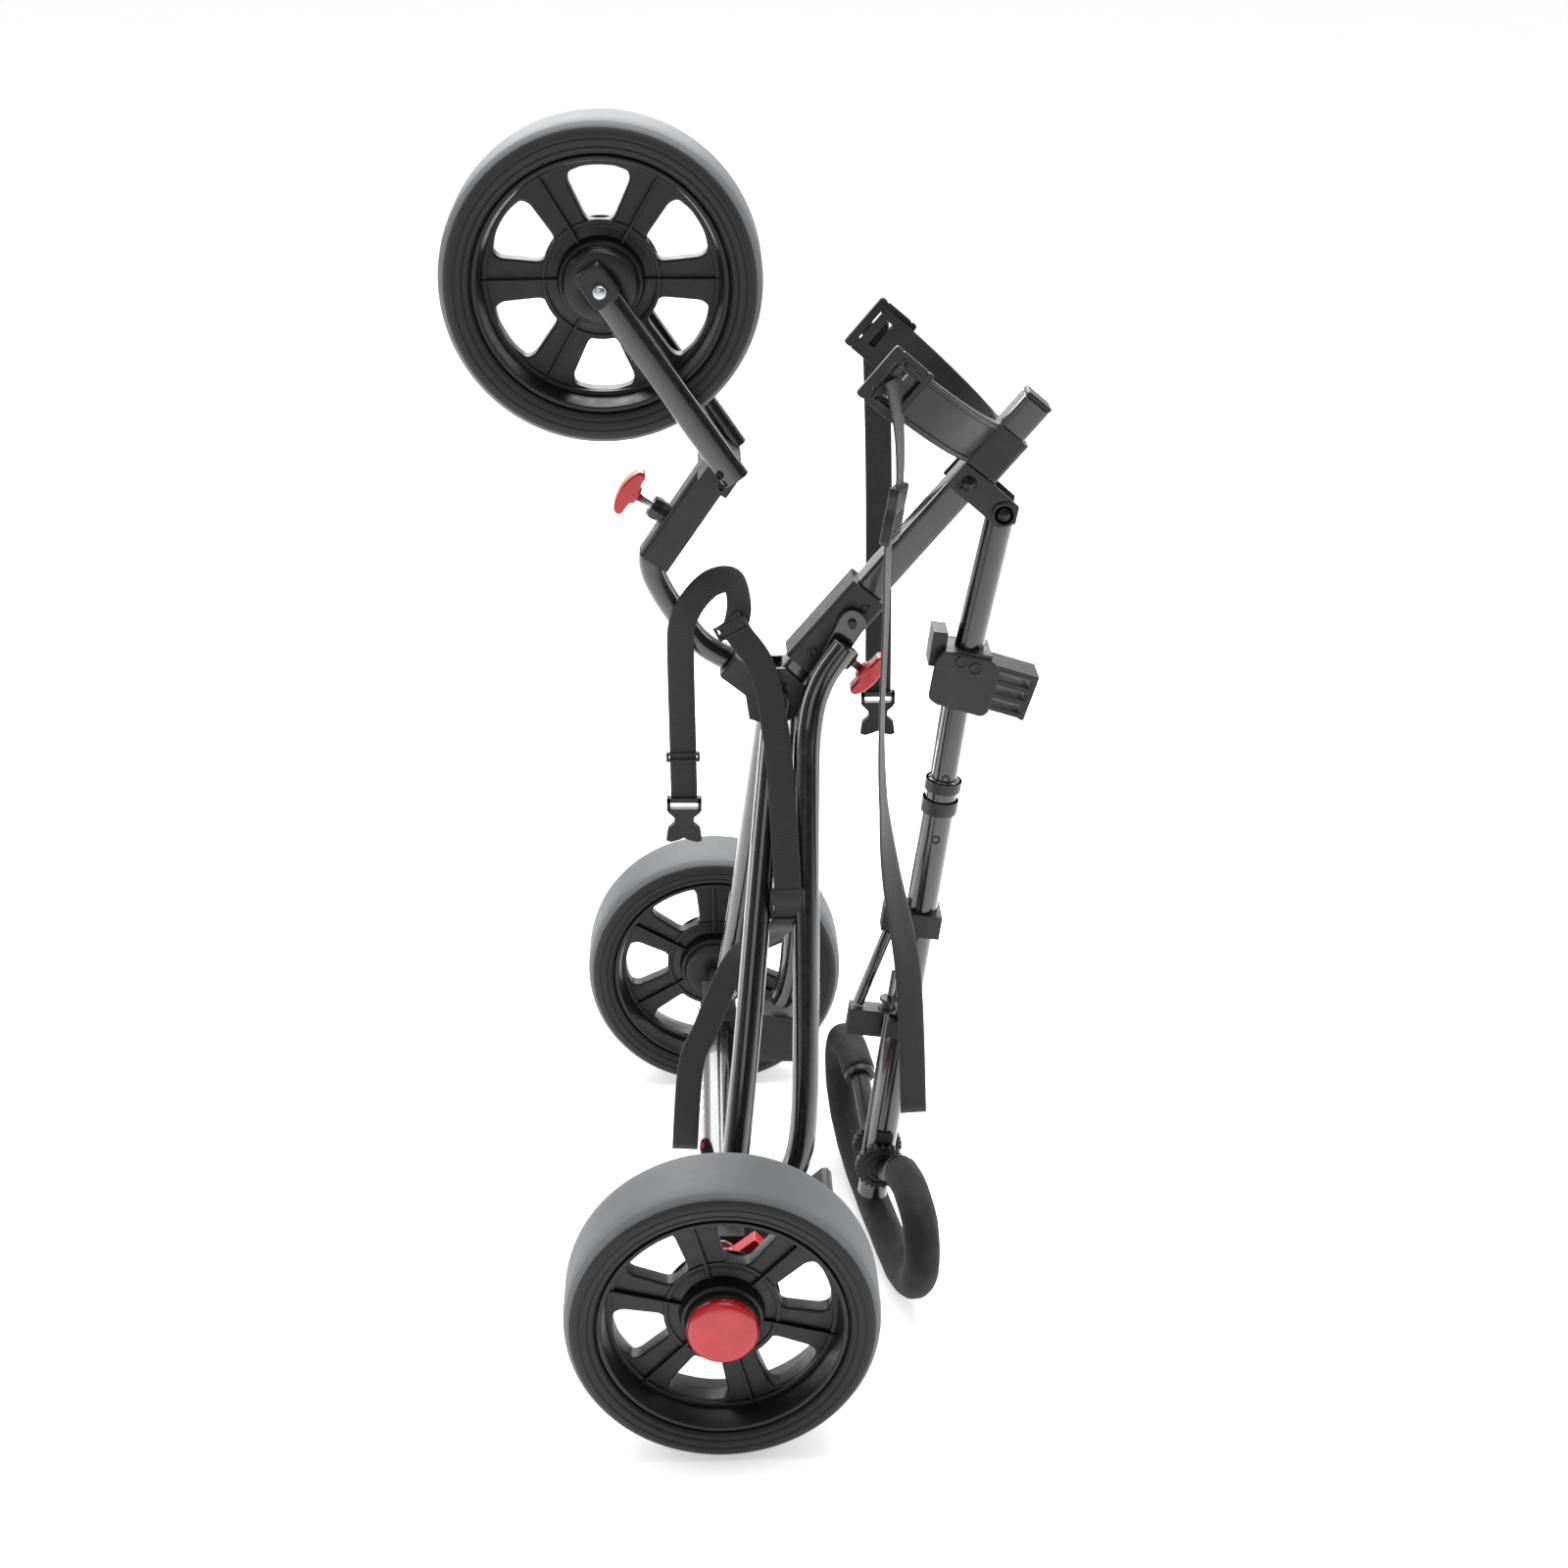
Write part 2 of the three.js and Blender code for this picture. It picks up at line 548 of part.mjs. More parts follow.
// The clamp's ribbed pad leans away from the tubes, with an end plate on its ribs
const padAngle = shaftAngle - THREE.MathUtils.degToRad(10);
const alongPad = (along, left) => step(clampTop, padAngle, along, left);
const padReach = 64;
const clampRibs = [-20, -7, 6, 19].map((along) => block(alongPad(along, (padReach + 16) / 2), padAngle,
  5, 36, padReach - 14));
addPart('handle_clamp', cut(
  join(block(alongShaft(-1), shaftAngle, 54, 44, 44), block(alongShaft(-26, -28), shaftAngle, 34, 30, 14),
    ...clampRibs, block(alongPad(0, padReach), padAngle, 45, 36, 5)),
  rod(at(alongShaft(-5)), at(alongShaft(60)), innerTube + 2 * gap),
  rod(at(alongUpper(upperLength - 90)), at(alongUpper(upperLength - 6)), handleTube),
), 'blackPlastic');

// Angle ratchet and the foam-covered hoop
const ratchet = step(tubeEnd, shaftAngle, -44);
const ratchetRadius = 25;
const discHalf = lowerOuter / 2 + gap;
const discThickness = 9;
function toothedDisc(y) {
  const shape = new THREE.Shape();
  const teeth = 24;
  for (let i = 0; i < 2 * teeth; i += 1) {
    const r = ratchetRadius + (i % 2 ? 0 : -2.5);
    const angle = i * Math.PI / teeth;
    if (i) {
      shape.lineTo(r * Math.cos(angle), r * Math.sin(angle));
    } else {
      shape.moveTo(r, 0);
    }
  }
  const geometry = plate(shape, discThickness, y);
  geometry.translate(ratchet.x, 0, ratchet.z);
  return geometry;
}
const ratchetBoltEnd = discHalf + 5;
addPart('handle_lower_tube', cut(toSolid(rod(at(alongShaft(lowerStart)), at(alongShaft(shaftLength)),
  lowerOuter, innerTube + 2 * gap)), boltBore(ratchet)), 'blackTube');
addPart('ratchet_bolt', crossPin(ratchet, 2 * boltRadius, -ratchetBoltEnd, ratchetBoltEnd), 'steel');

// The hoop runs out from one disc, round the bottom and back to the other, turned about the shaft
const hoopTop = -8;
const hoopBelly = 9; // how far the bottom corners rise on each side
const hoopLift = 1; // the bottom run clears the ground by a hair
const hoopBottom = -wheelRadius + hoopTube / 2 + hoopLift;
function hoopPoint(t, z) {
  return point(ratchet.x - t * Math.sin(hoopYaw), t * Math.cos(hoopYaw), z);
}
const hoopStart = discHalf + discThickness - 2;
const hoopRun = [
  [hoopStart, ratchet.z], [hoopStart + 18, ratchet.z + 4], [95, hoopTop - 6], [140, hoopTop],
  [hoopHalfWidth - 12, hoopTop - 12], [hoopHalfWidth, -50], [hoopHalfWidth - 11, -80],
  [150, hoopBottom + 2 * hoopBelly], [105, hoopBottom + hoopBelly / 2], [40, hoopBottom],
];
const hoopPoints = [
  ...hoopRun.map(([t, z]) => hoopPoint(-t, z)),
  ...hoopRun.map(([t, z]) => hoopPoint(t, z)).reverse(),
];
const hoopPath = new THREE.CatmullRomCurve3(hoopPoints, false, 'centripetal');
addPart('hoop_frame', cut(
  join(tubeAlong(hoopPath, 19, 0, 28), ...[-1, 1].map((sign) => toothedDisc(
    sign * (discHalf + discThickness / 2)))),
  crossPin(ratchet, 2 * (boltRadius + gap), -ratchetBoltEnd - gap, ratchetBoltEnd + gap),
), 'blackPlastic');
const gripPath = new THREE.CatmullRomCurve3(hoopPoints.slice(2, -2), false, 'centripetal');
addPart('hoop_grip', cut(toSolid(tubeAlong(gripPath, hoopTube, 0, 24)),
  tubeAlong(hoopPath, 19 + 2 * gap, 0, 28)), 'grip');

// Console fittings beside the lower tube
addPart('handle_side_tube', rod(point(clampTop.x - 6, 33, clampTop.z - 24),
  point(clampTop.x - 32, 33, clampTop.z - 230), 14, 11), 'blackTube');
const consoleUpper = alongShaft(258);
const consoleLower = alongShaft(374);
const ringBore = (place) => rod(at(step(place, shaftAngle, -40)), at(step(place, shaftAngle, 40)),
  lowerOuter + 2 * gap);
addPart('console_clamp_upper', cut(join(block(consoleUpper, shaftAngle, 24, 38, 38),
  block(step(consoleUpper, shaftAngle, 0, -27), shaftAngle, 26, 18, 20)), ringBore(consoleUpper)),
'blackPlastic');
addPart('console_clamp_lower', cut(join(block(consoleLower, shaftAngle, 18, 38, 38),
  block(step(consoleLower, shaftAngle, 0, -36), shaftAngle, 28, 20, 36)), ringBore(consoleLower)),
'blackPlastic');
const rodFrom = step(consoleUpper, shaftAngle, 16, -28);
const rodTo = step(consoleLower, shaftAngle, -17, -46);
addPart('console_rod', rod(at(rodFrom), at(rodTo), 11), 'blackTube');

// Webbing straps with their buckles
function strapRun(points, y, thickness = webThickness) {
  const left = [];
  const right = [];
  points.forEach(([x, z, half = webWidth / 2], i) => {
    const [ax, az] = points[Math.max(i - 1, 0)];
    const [bx, bz] = points[Math.min(i + 1, points.length - 1)];
    const long = Math.hypot(bx - ax, bz - az);
    const nx = -(bz - az) / long;
    const nz = (bx - ax) / long;
    left.push(new THREE.Vector2(x + nx * half, z + nz * half));
    right.push(new THREE.Vector2(x - nx * half, z - nz * half));
  });
  return plate(new THREE.Shape([...left, ...right.reverse()]), thickness, y);
}
const neckSide = -(neckTube / 2 + 3);
addPart('lower_strap_hook', strapRun([[-28, 350, 16], [-28.4, 336, 13], [-28.6, 326, 15], [-29, 312, 20],
  [-29, 302, 17]], neckSide, 11), 'blackPlastic');
const loopShape = new THREE.Shape();
loopShape.absarc(12, 548, 27, -Math.PI * 0.05, Math.PI * 1.02);
loopShape.lineTo(-18, 536);
loopShape.lineTo(-8, 532);
loopShape.lineTo(-5, 548);
loopShape.absarc(12, 548, 20, Math.PI * 1.02, -Math.PI * 0.05, true);
addPart('lower_strap_loop', join(plate(loopShape, webWidth, neckSide + webWidth / 2),
  strapRun([[-12, 538], [-14, 500], [-22, 420], [-28, 352]], neckSide)), 'web');
const lean = Math.atan(0.41); // the tail leans out in front of the near leg
const leanPlace = { y: -46, z: knee.z };
const leaning = [[28, 521], [49, 488], [58, 429], [64, 346], [66, 302]].map(
  ([x, z]) => [x, (z - leanPlace.z) / Math.cos(lean)]);
const leaningTail = strapRun(leaning, 0);
leaningTail.rotateX(-lean);
leaningTail.translate(0, leanPlace.y, leanPlace.z);
addPart('lower_strap_tail', leaningTail, 'web');
addPart('lower_strap_slider', strapRun([[66, 300, 13], [67, 282, 15], [67, 264, 13]], -116, 9),
  'blackPlastic');
addPart('lower_strap_end', strapRun([[64, 262, 8], [52, 238], [20, 205], [-12, 127],
  [-26, 87], [-33, -5]], -60), 'web');

const tip = alongSpine(cradleStart + cradleLength / 2, cradleReach - 12);
const strapY = cradleSpread + 12;
addPart('upper_strap_far', strapRun([[tip.x - 4, tip.z + 8], [tip.x - 1, tip.z - 60],
  [tip.x + 2, 600], [tip.x + 4, 412]], strapY), 'web');
addPart('upper_buckle_hook', strapRun([[tip.x + 4, 411, 16], [tip.x + 4, 400, 13], [tip.x + 4, 384, 14]],
  strapY, 11), 'blackPlastic');
addPart('upper_strap_near', strapRun([[tip.x - 2, tip.z + 6], [tip.x + 2, tip.z - 40],
  [tip.x + 2, 682]], -strapY), 'web');
addPart('upper_buckle_socket', strapRun([[tip.x + 2, 681, 15], [tip.x, 655, 17], [tip.x, 627, 15]],
  -strapY, 12), 'blackPlastic');
addPart('upper_strap_end', strapRun([[tip.x - 1, 626], [tip.x - 4, 560], [tip.x - 7, 455],
  [tip.x - 4, 380], [tip.x + 4, 310], [tip.x + 22, 205], [tip.x + 30, 55]], -strapY), 'web');

// The model's origin is on the ground under the middle of its box
const box = new THREE.Box3().setFromObject(cart);
const middle = box.getCenter(new THREE.Vector3());
cart.position.set(-middle.x, -middle.y, -box.min.z);
cart.updateMatrixWorld(true);

export default cart;
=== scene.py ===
import json
import math

import bmesh
import bpy
from mathutils import Matrix, Vector


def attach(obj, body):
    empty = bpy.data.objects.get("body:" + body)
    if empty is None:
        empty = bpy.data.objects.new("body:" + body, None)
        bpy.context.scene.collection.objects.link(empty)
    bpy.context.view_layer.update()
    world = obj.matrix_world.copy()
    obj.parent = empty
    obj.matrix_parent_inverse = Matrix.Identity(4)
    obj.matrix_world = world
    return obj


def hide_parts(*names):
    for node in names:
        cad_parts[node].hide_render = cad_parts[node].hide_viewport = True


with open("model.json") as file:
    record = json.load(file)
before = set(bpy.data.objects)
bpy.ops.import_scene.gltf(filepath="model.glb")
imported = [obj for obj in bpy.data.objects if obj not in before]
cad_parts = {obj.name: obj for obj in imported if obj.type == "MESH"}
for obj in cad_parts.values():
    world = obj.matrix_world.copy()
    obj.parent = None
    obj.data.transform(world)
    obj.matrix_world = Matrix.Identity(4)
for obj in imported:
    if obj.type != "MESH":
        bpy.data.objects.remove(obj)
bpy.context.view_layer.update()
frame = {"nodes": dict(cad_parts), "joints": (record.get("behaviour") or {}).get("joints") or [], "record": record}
joints = {j["name"]: j for j in frame["joints"]}
axleAt = Vector(joints["near_wheel_spin"]["pos_m"])


def at(x, z, y=0.0):
    return Vector((axleAt.x + x / 1000, y / 1000, axleAt.z + z / 1000))


# places along the spine, the steering sleeve and the handle, in millimetres from the axle
spineAngle = math.radians(49.7)
steerAngle = math.radians(55.6)
neckAngle = math.radians(142)
knee = (57.7, 454)
sleeveTop = (11, 678)
clampTop = (233, 470)
tubeEnd = (157, -98)
shaftAngle = math.atan2(tubeEnd[1] - clampTop[1], tubeEnd[0] - clampTop[0])


def step(start, angle, along, left=0.0):
    return (start[0] + math.cos(angle) * along - math.sin(angle) * left,
            start[1] + math.sin(angle) * along + math.cos(angle) * left)


def spine(along, left=0.0, y=0.0):
    return at(*step(knee, spineAngle, along, left), y)


def steer(along, left=0.0, y=0.0):
    return at(*step(sleeveTop, steerAngle, along, left), y)


def shaft(along, left=0.0, y=0.0):
    return at(*step(clampTop, shaftAngle, along, left), y)


# camera first: above the folded cart and looking down on it
camera = {"eye": (-11.6, 1333.4, -2187.0), "down": 23.99, "right": 2.05, "lens": 57.98}


def makeCamera():
    data = bpy.data.cameras.new("camera")
    data.lens = camera["lens"]
    data.sensor_width = 36
    ob = bpy.data.objects.new("camera", data)
    ob.location = at(*camera["eye"])
    ob.rotation_euler = (math.radians(90 - camera["down"]), 0, -math.radians(camera["right"]))
    bpy.context.scene.collection.objects.link(ob)
    bpy.context.scene.camera = ob


makeCamera()


# shader maths: a socket with operators
class Val:
    def __init__(self, paint, socket):
        self.paint = paint
        self.socket = socket

    def math(self, operation, other, swap=False):
        a, b = (other, self) if swap else (self, other)
        return self.paint.node("ShaderNodeMath", {"operation": operation}, {0: a, 1: b})

    def __add__(self, other):
        return self.math("ADD", other)

    def __sub__(self, other):
        return self.math("SUBTRACT", other)

    def __mul__(self, other):
        return self.math("MULTIPLY", other)

    def __truediv__(self, other):
        return self.math("DIVIDE", other)

    def __rsub__(self, other):
        return self.math("SUBTRACT", other, True)

    def __radd__(self, other):
        return self.math("ADD", other, True)

    def __rmul__(self, other):
        return self.math("MULTIPLY", other, True)

    def above(self, level):
        return self.math("GREATER_THAN", level)

    def sine(self):
        return self.paint.node("ShaderNodeMath", {"operation": "SINE"}, {0: self})

    def power(self, exponent):
        return self.math("POWER", exponent)

    def clamped(self):
        return self.paint.node("ShaderNodeClamp", {}, {"Value": self})


class Paint:
    def __init__(self, name, **fixed):
        self.material = bpy.data.materials.new(name)
        self.material.use_nodes = True
        self.tree = self.material.node_tree
        self.shader = self.tree.nodes["Principled BSDF"]
        for key, value in fixed.items():
            self.shader.inputs[key.replace("_", " ")].default_value = value

    def put(self, socket, value):
        if isinstance(value, Val):
            self.tree.links.new(value.socket, socket)
        else:
            socket.default_value = value

    def node(self, kind, settings, inputs, output=0):
        made = self.tree.nodes.new(kind)
        for key, value in settings.items():
            if key == "ramp":
                ramp = made.color_ramp
                while len(ramp.elements) < len(value):
                    ramp.elements.new(0.5)
                for element, (position, colour) in zip(ramp.elements, value):
                    element.position = position
                    element.color = (*colour, 1)
            else:
                setattr(made, key, value)
        for key, value in inputs.items():
            self.put(made.inputs[key], value)
        return Val(self, made.outputs[output])

    def place(self):
        return self.node("ShaderNodeTexCoord", {}, {}, "Object")

    def parts(self):
        made = self.tree.nodes.new("ShaderNodeSeparateXYZ")
        self.put(made.inputs[0], self.place())
        return [Val(self, made.outputs[i]) for i in range(3)]

    def noise(self, scale, detail=3.0, roughness=0.55, vector=None):
        return self.node("ShaderNodeTexNoise", {}, {
            "Vector": vector or self.place(), "Scale": scale, "Detail": detail,
            "Roughness": roughness}, "Fac")

    def cells(self, scale, feature="F1"):
        return self.node("ShaderNodeTexVoronoi", {"feature": feature}, {
            "Vector": self.place(), "Scale": scale}, "Distance")

    def mix(self, factor, first, second):
        made = self.tree.nodes.new("ShaderNodeMix")
        made.data_type = "RGBA"
        self.put(made.inputs["Factor"], factor)
        for socket, colour in ((made.inputs[6], first), (made.inputs[7], second)):
            self.put(socket, colour if isinstance(colour, Val) else (*colour, 1))
        return Val(self, made.outputs[2])

    def spread(self, value, low, high, newLow, newHigh):
        return self.node("ShaderNodeMapRange", {}, {
            "Value": value, "From Min": low, "From Max": high,
            "To Min": newLow, "To Max": newHigh})

    def colour(self, value):
        self.put(self.shader.inputs["Base Color"], value)

    def rough(self, value):
        self.put(self.shader.inputs["Roughness"], value)

    def bump(self, height, strength, distance):
        bumped = self.node("ShaderNodeBump", {}, {
            "Strength": strength, "Distance": distance, "Height": height})
        self.put(self.shader.inputs["Normal"], bumped)
        return self.material


def glossTube(name, stripes=False):
    paint = Paint(name, Coat_Weight=0.7, Coat_Roughness=0.06, Specular_IOR_Level=0.6)
    drift = paint.noise(14, 4)
    dust = paint.noise(160, 6, 0.7)
    base = paint.mix(paint.spread(drift, 0.35, 0.7, 0, 1), (0.002, 0.002, 0.0022), (0.005, 0.005, 0.0056))
    if stripes:
        _, y, z = paint.parts()
        low, high, middle = -0.1, 0.04, -0.03
        slashes = ((y * 320 + z * 260).sine()).above(0.1)
        across = y.above(low) - y.above(high)
        upright = z.above(axleAt.z - 0.012) - z.above(axleAt.z + 0.012)
        band = across * slashes * upright
        decal = paint.mix(y.above(middle), (0.5, 0.01, 0.012), (0.72, 0.72, 0.71))
        base = paint.mix(band.clamped(), base, decal)
    paint.colour(base)
    paint.rough(paint.spread(dust, 0.3, 0.75, 0.13, 0.32))
    return paint.bump(paint.noise(420, 2) * 0.6 + paint.noise(60, 2), 0.05, 0.0006)


def mouldedPlastic(name, dark=(0.004, 0.004, 0.0044), light=(0.011, 0.011, 0.012), rough=0.38):
    paint = Paint(name, Specular_IOR_Level=0.42)
    drift = paint.noise(25, 5)
    paint.colour(paint.mix(paint.spread(drift, 0.3, 0.72, 0, 1), dark, light))
    scuff = paint.noise(70, 8, 0.75)
    paint.rough(paint.spread(scuff, 0.35, 0.7, rough - 0.07, rough + 0.14))
    grain = paint.cells(900) * 0.6 + paint.noise(500, 3) * 0.8
    return paint.bump(grain, 0.16, 0.0004)


def glossRed(name):
    paint = Paint(name, Coat_Weight=0.35, Coat_Roughness=0.1, Subsurface_Weight=0.0)
    drift = paint.noise(40, 4)
    paint.colour(paint.mix(paint.spread(drift, 0.3, 0.7, 0, 1), (0.42, 0.004, 0.008), (0.56, 0.012, 0.016)))
    paint.rough(paint.spread(paint.noise(110, 6, 0.7), 0.3, 0.7, 0.24, 0.4))
    return paint.bump(paint.noise(380, 2), 0.06, 0.0004)


def foamTyre(name, dark=(0.06, 0.062, 0.066), light=(0.115, 0.118, 0.122)):
    paint = Paint(name, Specular_IOR_Level=0.35)
    drift = paint.noise(7, 6, 0.6)
    speck = paint.noise(330, 4, 0.7)
    tone = paint.spread(drift, 0.3, 0.7, 0, 0.75) + paint.spread(speck, 0.35, 0.7, 0, 0.25)
    paint.colour(paint.mix(tone.clamped(), dark, light))
    paint.rough(paint.spread(drift, 0.3, 0.7, 0.5, 0.68))
    return paint.bump(paint.noise(260, 5, 0.65) + paint.cells(650) * 0.5, 0.12, 0.0005)


def gripFoam(name):
    paint = Paint(name, Specular_IOR_Level=0.25)
    paint.colour(paint.mix(paint.noise(90, 6, 0.7), (0.008, 0.008, 0.008), (0.03, 0.03, 0.031)))
    paint.rough(paint.spread(paint.noise(50, 3), 0.3, 0.7, 0.72, 0.9))
    return paint.bump(paint.cells(420) + paint.noise(240, 4), 0.4, 0.0009)


def webbing(name):
    paint = Paint(name, Specular_IOR_Level=0.35, Sheen_Weight=0.25)
    x, _, z = paint.parts()
    picks = (z * 2100 + (x * 1900).sine() * 1.2).sine()
    ends = (x * 2300 + (z * 700).sine() * 0.4).sine()
    weave = picks * ends * 0.5 + 0.5
    fuzz = paint.noise(700, 5, 0.75)
    tone = (weave * 0.65 + fuzz * 0.45).clamped()
    paint.colour(paint.mix(tone, (0.004, 0.004, 0.0045), (0.026, 0.026, 0.028)))
    paint.rough(paint.spread(fuzz, 0.3, 0.7, 0.55, 0.8))
    return paint.bump(weave + fuzz * 0.4, 0.5, 0.0007)


def zincSteel(name, dark=(0.32, 0.33, 0.35), light=(0.56, 0.57, 0.58)):
    paint = Paint(name, Metallic=1.0)
    drift = paint.noise(45, 5)
    paint.colour(paint.mix(drift, dark, light))
    paint.rough(paint.spread(paint.noise(300, 6, 0.7), 0.3, 0.7, 0.24, 0.42))
    return paint.bump(paint.noise(500, 3), 0.08, 0.0003)


finish = {
    "tube": glossTube("tube_black"), "stripe": glossTube("tube_striped", True),
    "plastic": mouldedPlastic("plastic_black"),
    "rim": mouldedPlastic("rim_black", (0.004, 0.004, 0.0042), (0.009, 0.009, 0.0095), 0.44),
    # the tyre is one dark foam painted as two copies: a lighter tread copy (painted light) and a near-black
    # sidewall copy (painted shade)
    "red": glossRed("plastic_red"), "tyre": foamTyre("tyre_grey"),
    "painted_shade_sidewall": foamTyre("tyre_side", (0.009, 0.009, 0.009), (0.02, 0.02, 0.02)),
    "bolt": zincSteel("black_steel", (0.02, 0.02, 0.022), (0.05, 0.05, 0.053)),
    "grip": gripFoam("foam_black"), "web": webbing("webbing_black"), "steel": zincSteel("zinc_steel"),
}
bodyOf = {node: body for body, nodes in frame["record"]["behaviour"]["bodies"].items() for node in nodes}
print("materials made")


def finished(ob, look, body, *nodes, smooth=True):
    ob.data.materials.clear()
    ob.data.materials.append(finish[look])
    if smooth:
        for face in ob.data.polygons:
            face.use_smooth = True
    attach(ob, body)
    if nodes:
        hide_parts(*nodes)
    return ob


def fromBmesh(name, bm):
    bmesh.ops.recalc_face_normals(bm, faces=bm.faces)
    mesh = bpy.data.meshes.new(name)
    bm.to_mesh(mesh)
    bm.free()
    ob = bpy.data.objects.new(name, mesh)
    bpy.context.scene.collection.objects.link(ob)
    return ob


def applied(ob):
    graph = bpy.context.evaluated_depsgraph_get()
    mesh = bpy.data.meshes.new_from_object(ob.evaluated_get(graph))
    made = bpy.data.objects.new(ob.name + "_done", mesh)
    bpy.context.scene.collection.objects.link(made)
    name = ob.name
    bpy.data.objects.remove(ob)
    made.name = name
    return made


def bevelled(ob, width, segments=3, angle=32):
    bevel = ob.modifiers.new("edge", "BEVEL")
    bevel.width = width
    bevel.segments = segments
    bevel.limit_method = "ANGLE"
    bevel.angle_limit = math.radians(angle)
    bevel.harden_normals = False
    normals = ob.modifiers.new("normals", "WEIGHTED_NORMAL")
    normals.keep_sharp = False
    for face in ob.data.polygons:
        face.use_smooth = True
    return applied(ob)


def softened(node, look, width=0.0012, name=None):
    mesh = frame["nodes"][node].data.copy()
    bm = bmesh.new()
    bm.from_mesh(mesh)
    bmesh.ops.remove_doubles(bm, verts=bm.verts, dist=1e-5)
    bmesh.ops.dissolve_limit(bm, angle_limit=math.radians(1.0), verts=bm.verts, edges=bm.edges)
    ob = fromBmesh(name or node + "_shape", bm)
    ob = bevelled(ob, width)
    return finished(ob, look, bodyOf[node], node, smooth=False)


def smoothPath(points, count):
    out = []
    n = len(points)
    for i in range(n - 1):
        p0 = points[max(i - 1, 0)]
        p1, p2 = points[i], points[i + 1]
        p3 = points[min(i + 2, n - 1)]
        for k in range(count):
            t = k / count
            out.append(0.5 * ((2 * p1) + (p2 - p0) * t + (2 * p0 - 5 * p1 + 4 * p2 - p3) * t * t
                              + (3 * p1 - p0 - 3 * p2 + p3) * t ** 3))
    out.append(points[-1].copy())
    return out


def tube(name, points, diameter, look, body, *nodes, per=8, sides=28, squash=None, square=False):
    path = smoothPath(points, per) if len(points) > 2 else list(points)
    bm = bmesh.new()
    rings = []
    across = Vector((0, 1, 0))
    for i, p in enumerate(path):
        ahead = (path[min(i + 1, len(path) - 1)] - path[max(i - 1, 0)]).normalized()
        side = across - ahead * across.dot(ahead)
        if side.length < 1e-3:
            side = Vector((0, 0, 1)) - ahead * ahead.z
        side.normalize()
        up = ahead.cross(side)
        across = side
        ring = []
        for k in range(sides):
            a = 2 * math.pi * k / sides
            c, s = math.cos(a), math.sin(a)
            if square:
                c, s = [math.copysign(abs(v) ** 0.28, v) for v in (c, s)]
            wide, thick = (squash or (diameter, diameter))
            ring.append(bm.verts.new(p + side * (c * wide / 2000) + up * (s * thick / 2000)))
        rings.append(ring)
    for a, b in zip(rings, rings[1:]):
        for k in range(sides):
            bm.faces.new((a[k], a[(k + 1) % sides], b[(k + 1) % sides], b[k]))
    caps = [bm.faces.new(rings[0]), bm.faces.new(rings[-1])]
    bmesh.ops.bevel(bm, geom=[e for f in caps for e in f.edges], offset=0.0011, segments=3,
                    affect="EDGES", profile=0.5)
    return finished(fromBmesh(name, bm), look, body, *nodes)


def lathe(name, profile, centre, axis, look, body, *nodes, segments=72):
    axis = Vector(axis).normalized()
    side = axis.orthogonal().normalized()
    up = axis.cross(side)
    bm = bmesh.new()
    rings = []
    for r, h in profile:
        if r <= 0:
            rings.append([bm.verts.new(centre + axis * (h / 1000))])
            continue
        rings.append([bm.verts.new(centre + axis * (h / 1000) + (
            side * math.cos(2 * math.pi * k / segments) + up * math.sin(2 * math.pi * k / segments))
            * (r / 1000)) for k in range(segments)])
    pairs = list(zip(rings, rings[1:]))
    for a, b in pairs:
        for k in range(segments):
            n = (k + 1) % segments
            if len(a) == 1:
                bm.faces.new((a[0], b[n], b[k]))
            elif len(b) == 1:
                bm.faces.new((a[k], a[n], b[0]))
            else:
                bm.faces.new((a[k], a[n], b[n], b[k]))
    bmesh.ops.remove_doubles(bm, verts=bm.verts, dist=1e-6)
    return finished(fromBmesh(name, bm), look, body, *nodes)


def rounded(profile, radius, steps=4):
    out = [profile[0]]
    for a, b, c in zip(profile, profile[1:], profile[2:]):
        p, q, r = Vector(a), Vector(b), Vector(c)
        d = min(radius, (q - p).length * 0.45, (r - q).length * 0.45)
        if d < 1e-4:
            out.append(b)
            continue
        first, last = q + (p - q).normalized() * d, q + (r - q).normalized() * d
        for k in range(steps + 1):
            t = k / steps
            v = first * (1 - t) ** 2 + q * 2 * t * (1 - t) + last * t * t
            out.append((v.x, v.y))
    out.append(profile[-1])
    return out


def plate(name, corners, thickness, y, look, body, *nodes, bevel=0.0012, round=0.0, toWorld=None):
    outline = corners
    if round:
        n = len(corners)
        outline = []
        for i in range(n):
            p, q, r = Vector(corners[i - 1]), Vector(corners[i]), Vector(corners[(i + 1) % n])
            d = min(round, (q - p).length * 0.45, (r - q).length * 0.45)
            first, last = q + (p - q).normalized() * d, q + (r - q).normalized() * d
            for k in range(4):
                t = k / 3
                v = first * (1 - t) ** 2 + q * 2 * t * (1 - t) + last * t * t
                outline.append((v.x, v.y))
    toWorld = toWorld or (lambda a, b, c: at(a, b, c))
    bm = bmesh.new()
    front = [bm.verts.new(toWorld(a, b, y - thickness / 2)) for a, b in outline]
    back = [bm.verts.new(toWorld(a, b, y + thickness / 2)) for a, b in outline]
    bm.faces.new(front)
    bm.faces.new(back[::-1])
    for k in range(len(front)):
        n = (k + 1) % len(front)
        bm.faces.new((front[k], back[k], back[n], front[n]))
    ob = fromBmesh(name, bm)
    if bevel:
        ob = bevelled(ob, bevel)
    return finished(ob, look, body, *nodes, smooth=False)


# webbing straps, 25 mm wide, as ribbons along their paths
webbingSize = {"width": 25, "thick": 1.8, "cradleY": 98, "loopY": -14.5}
tip = (158, 770)  # end of the cradle arms


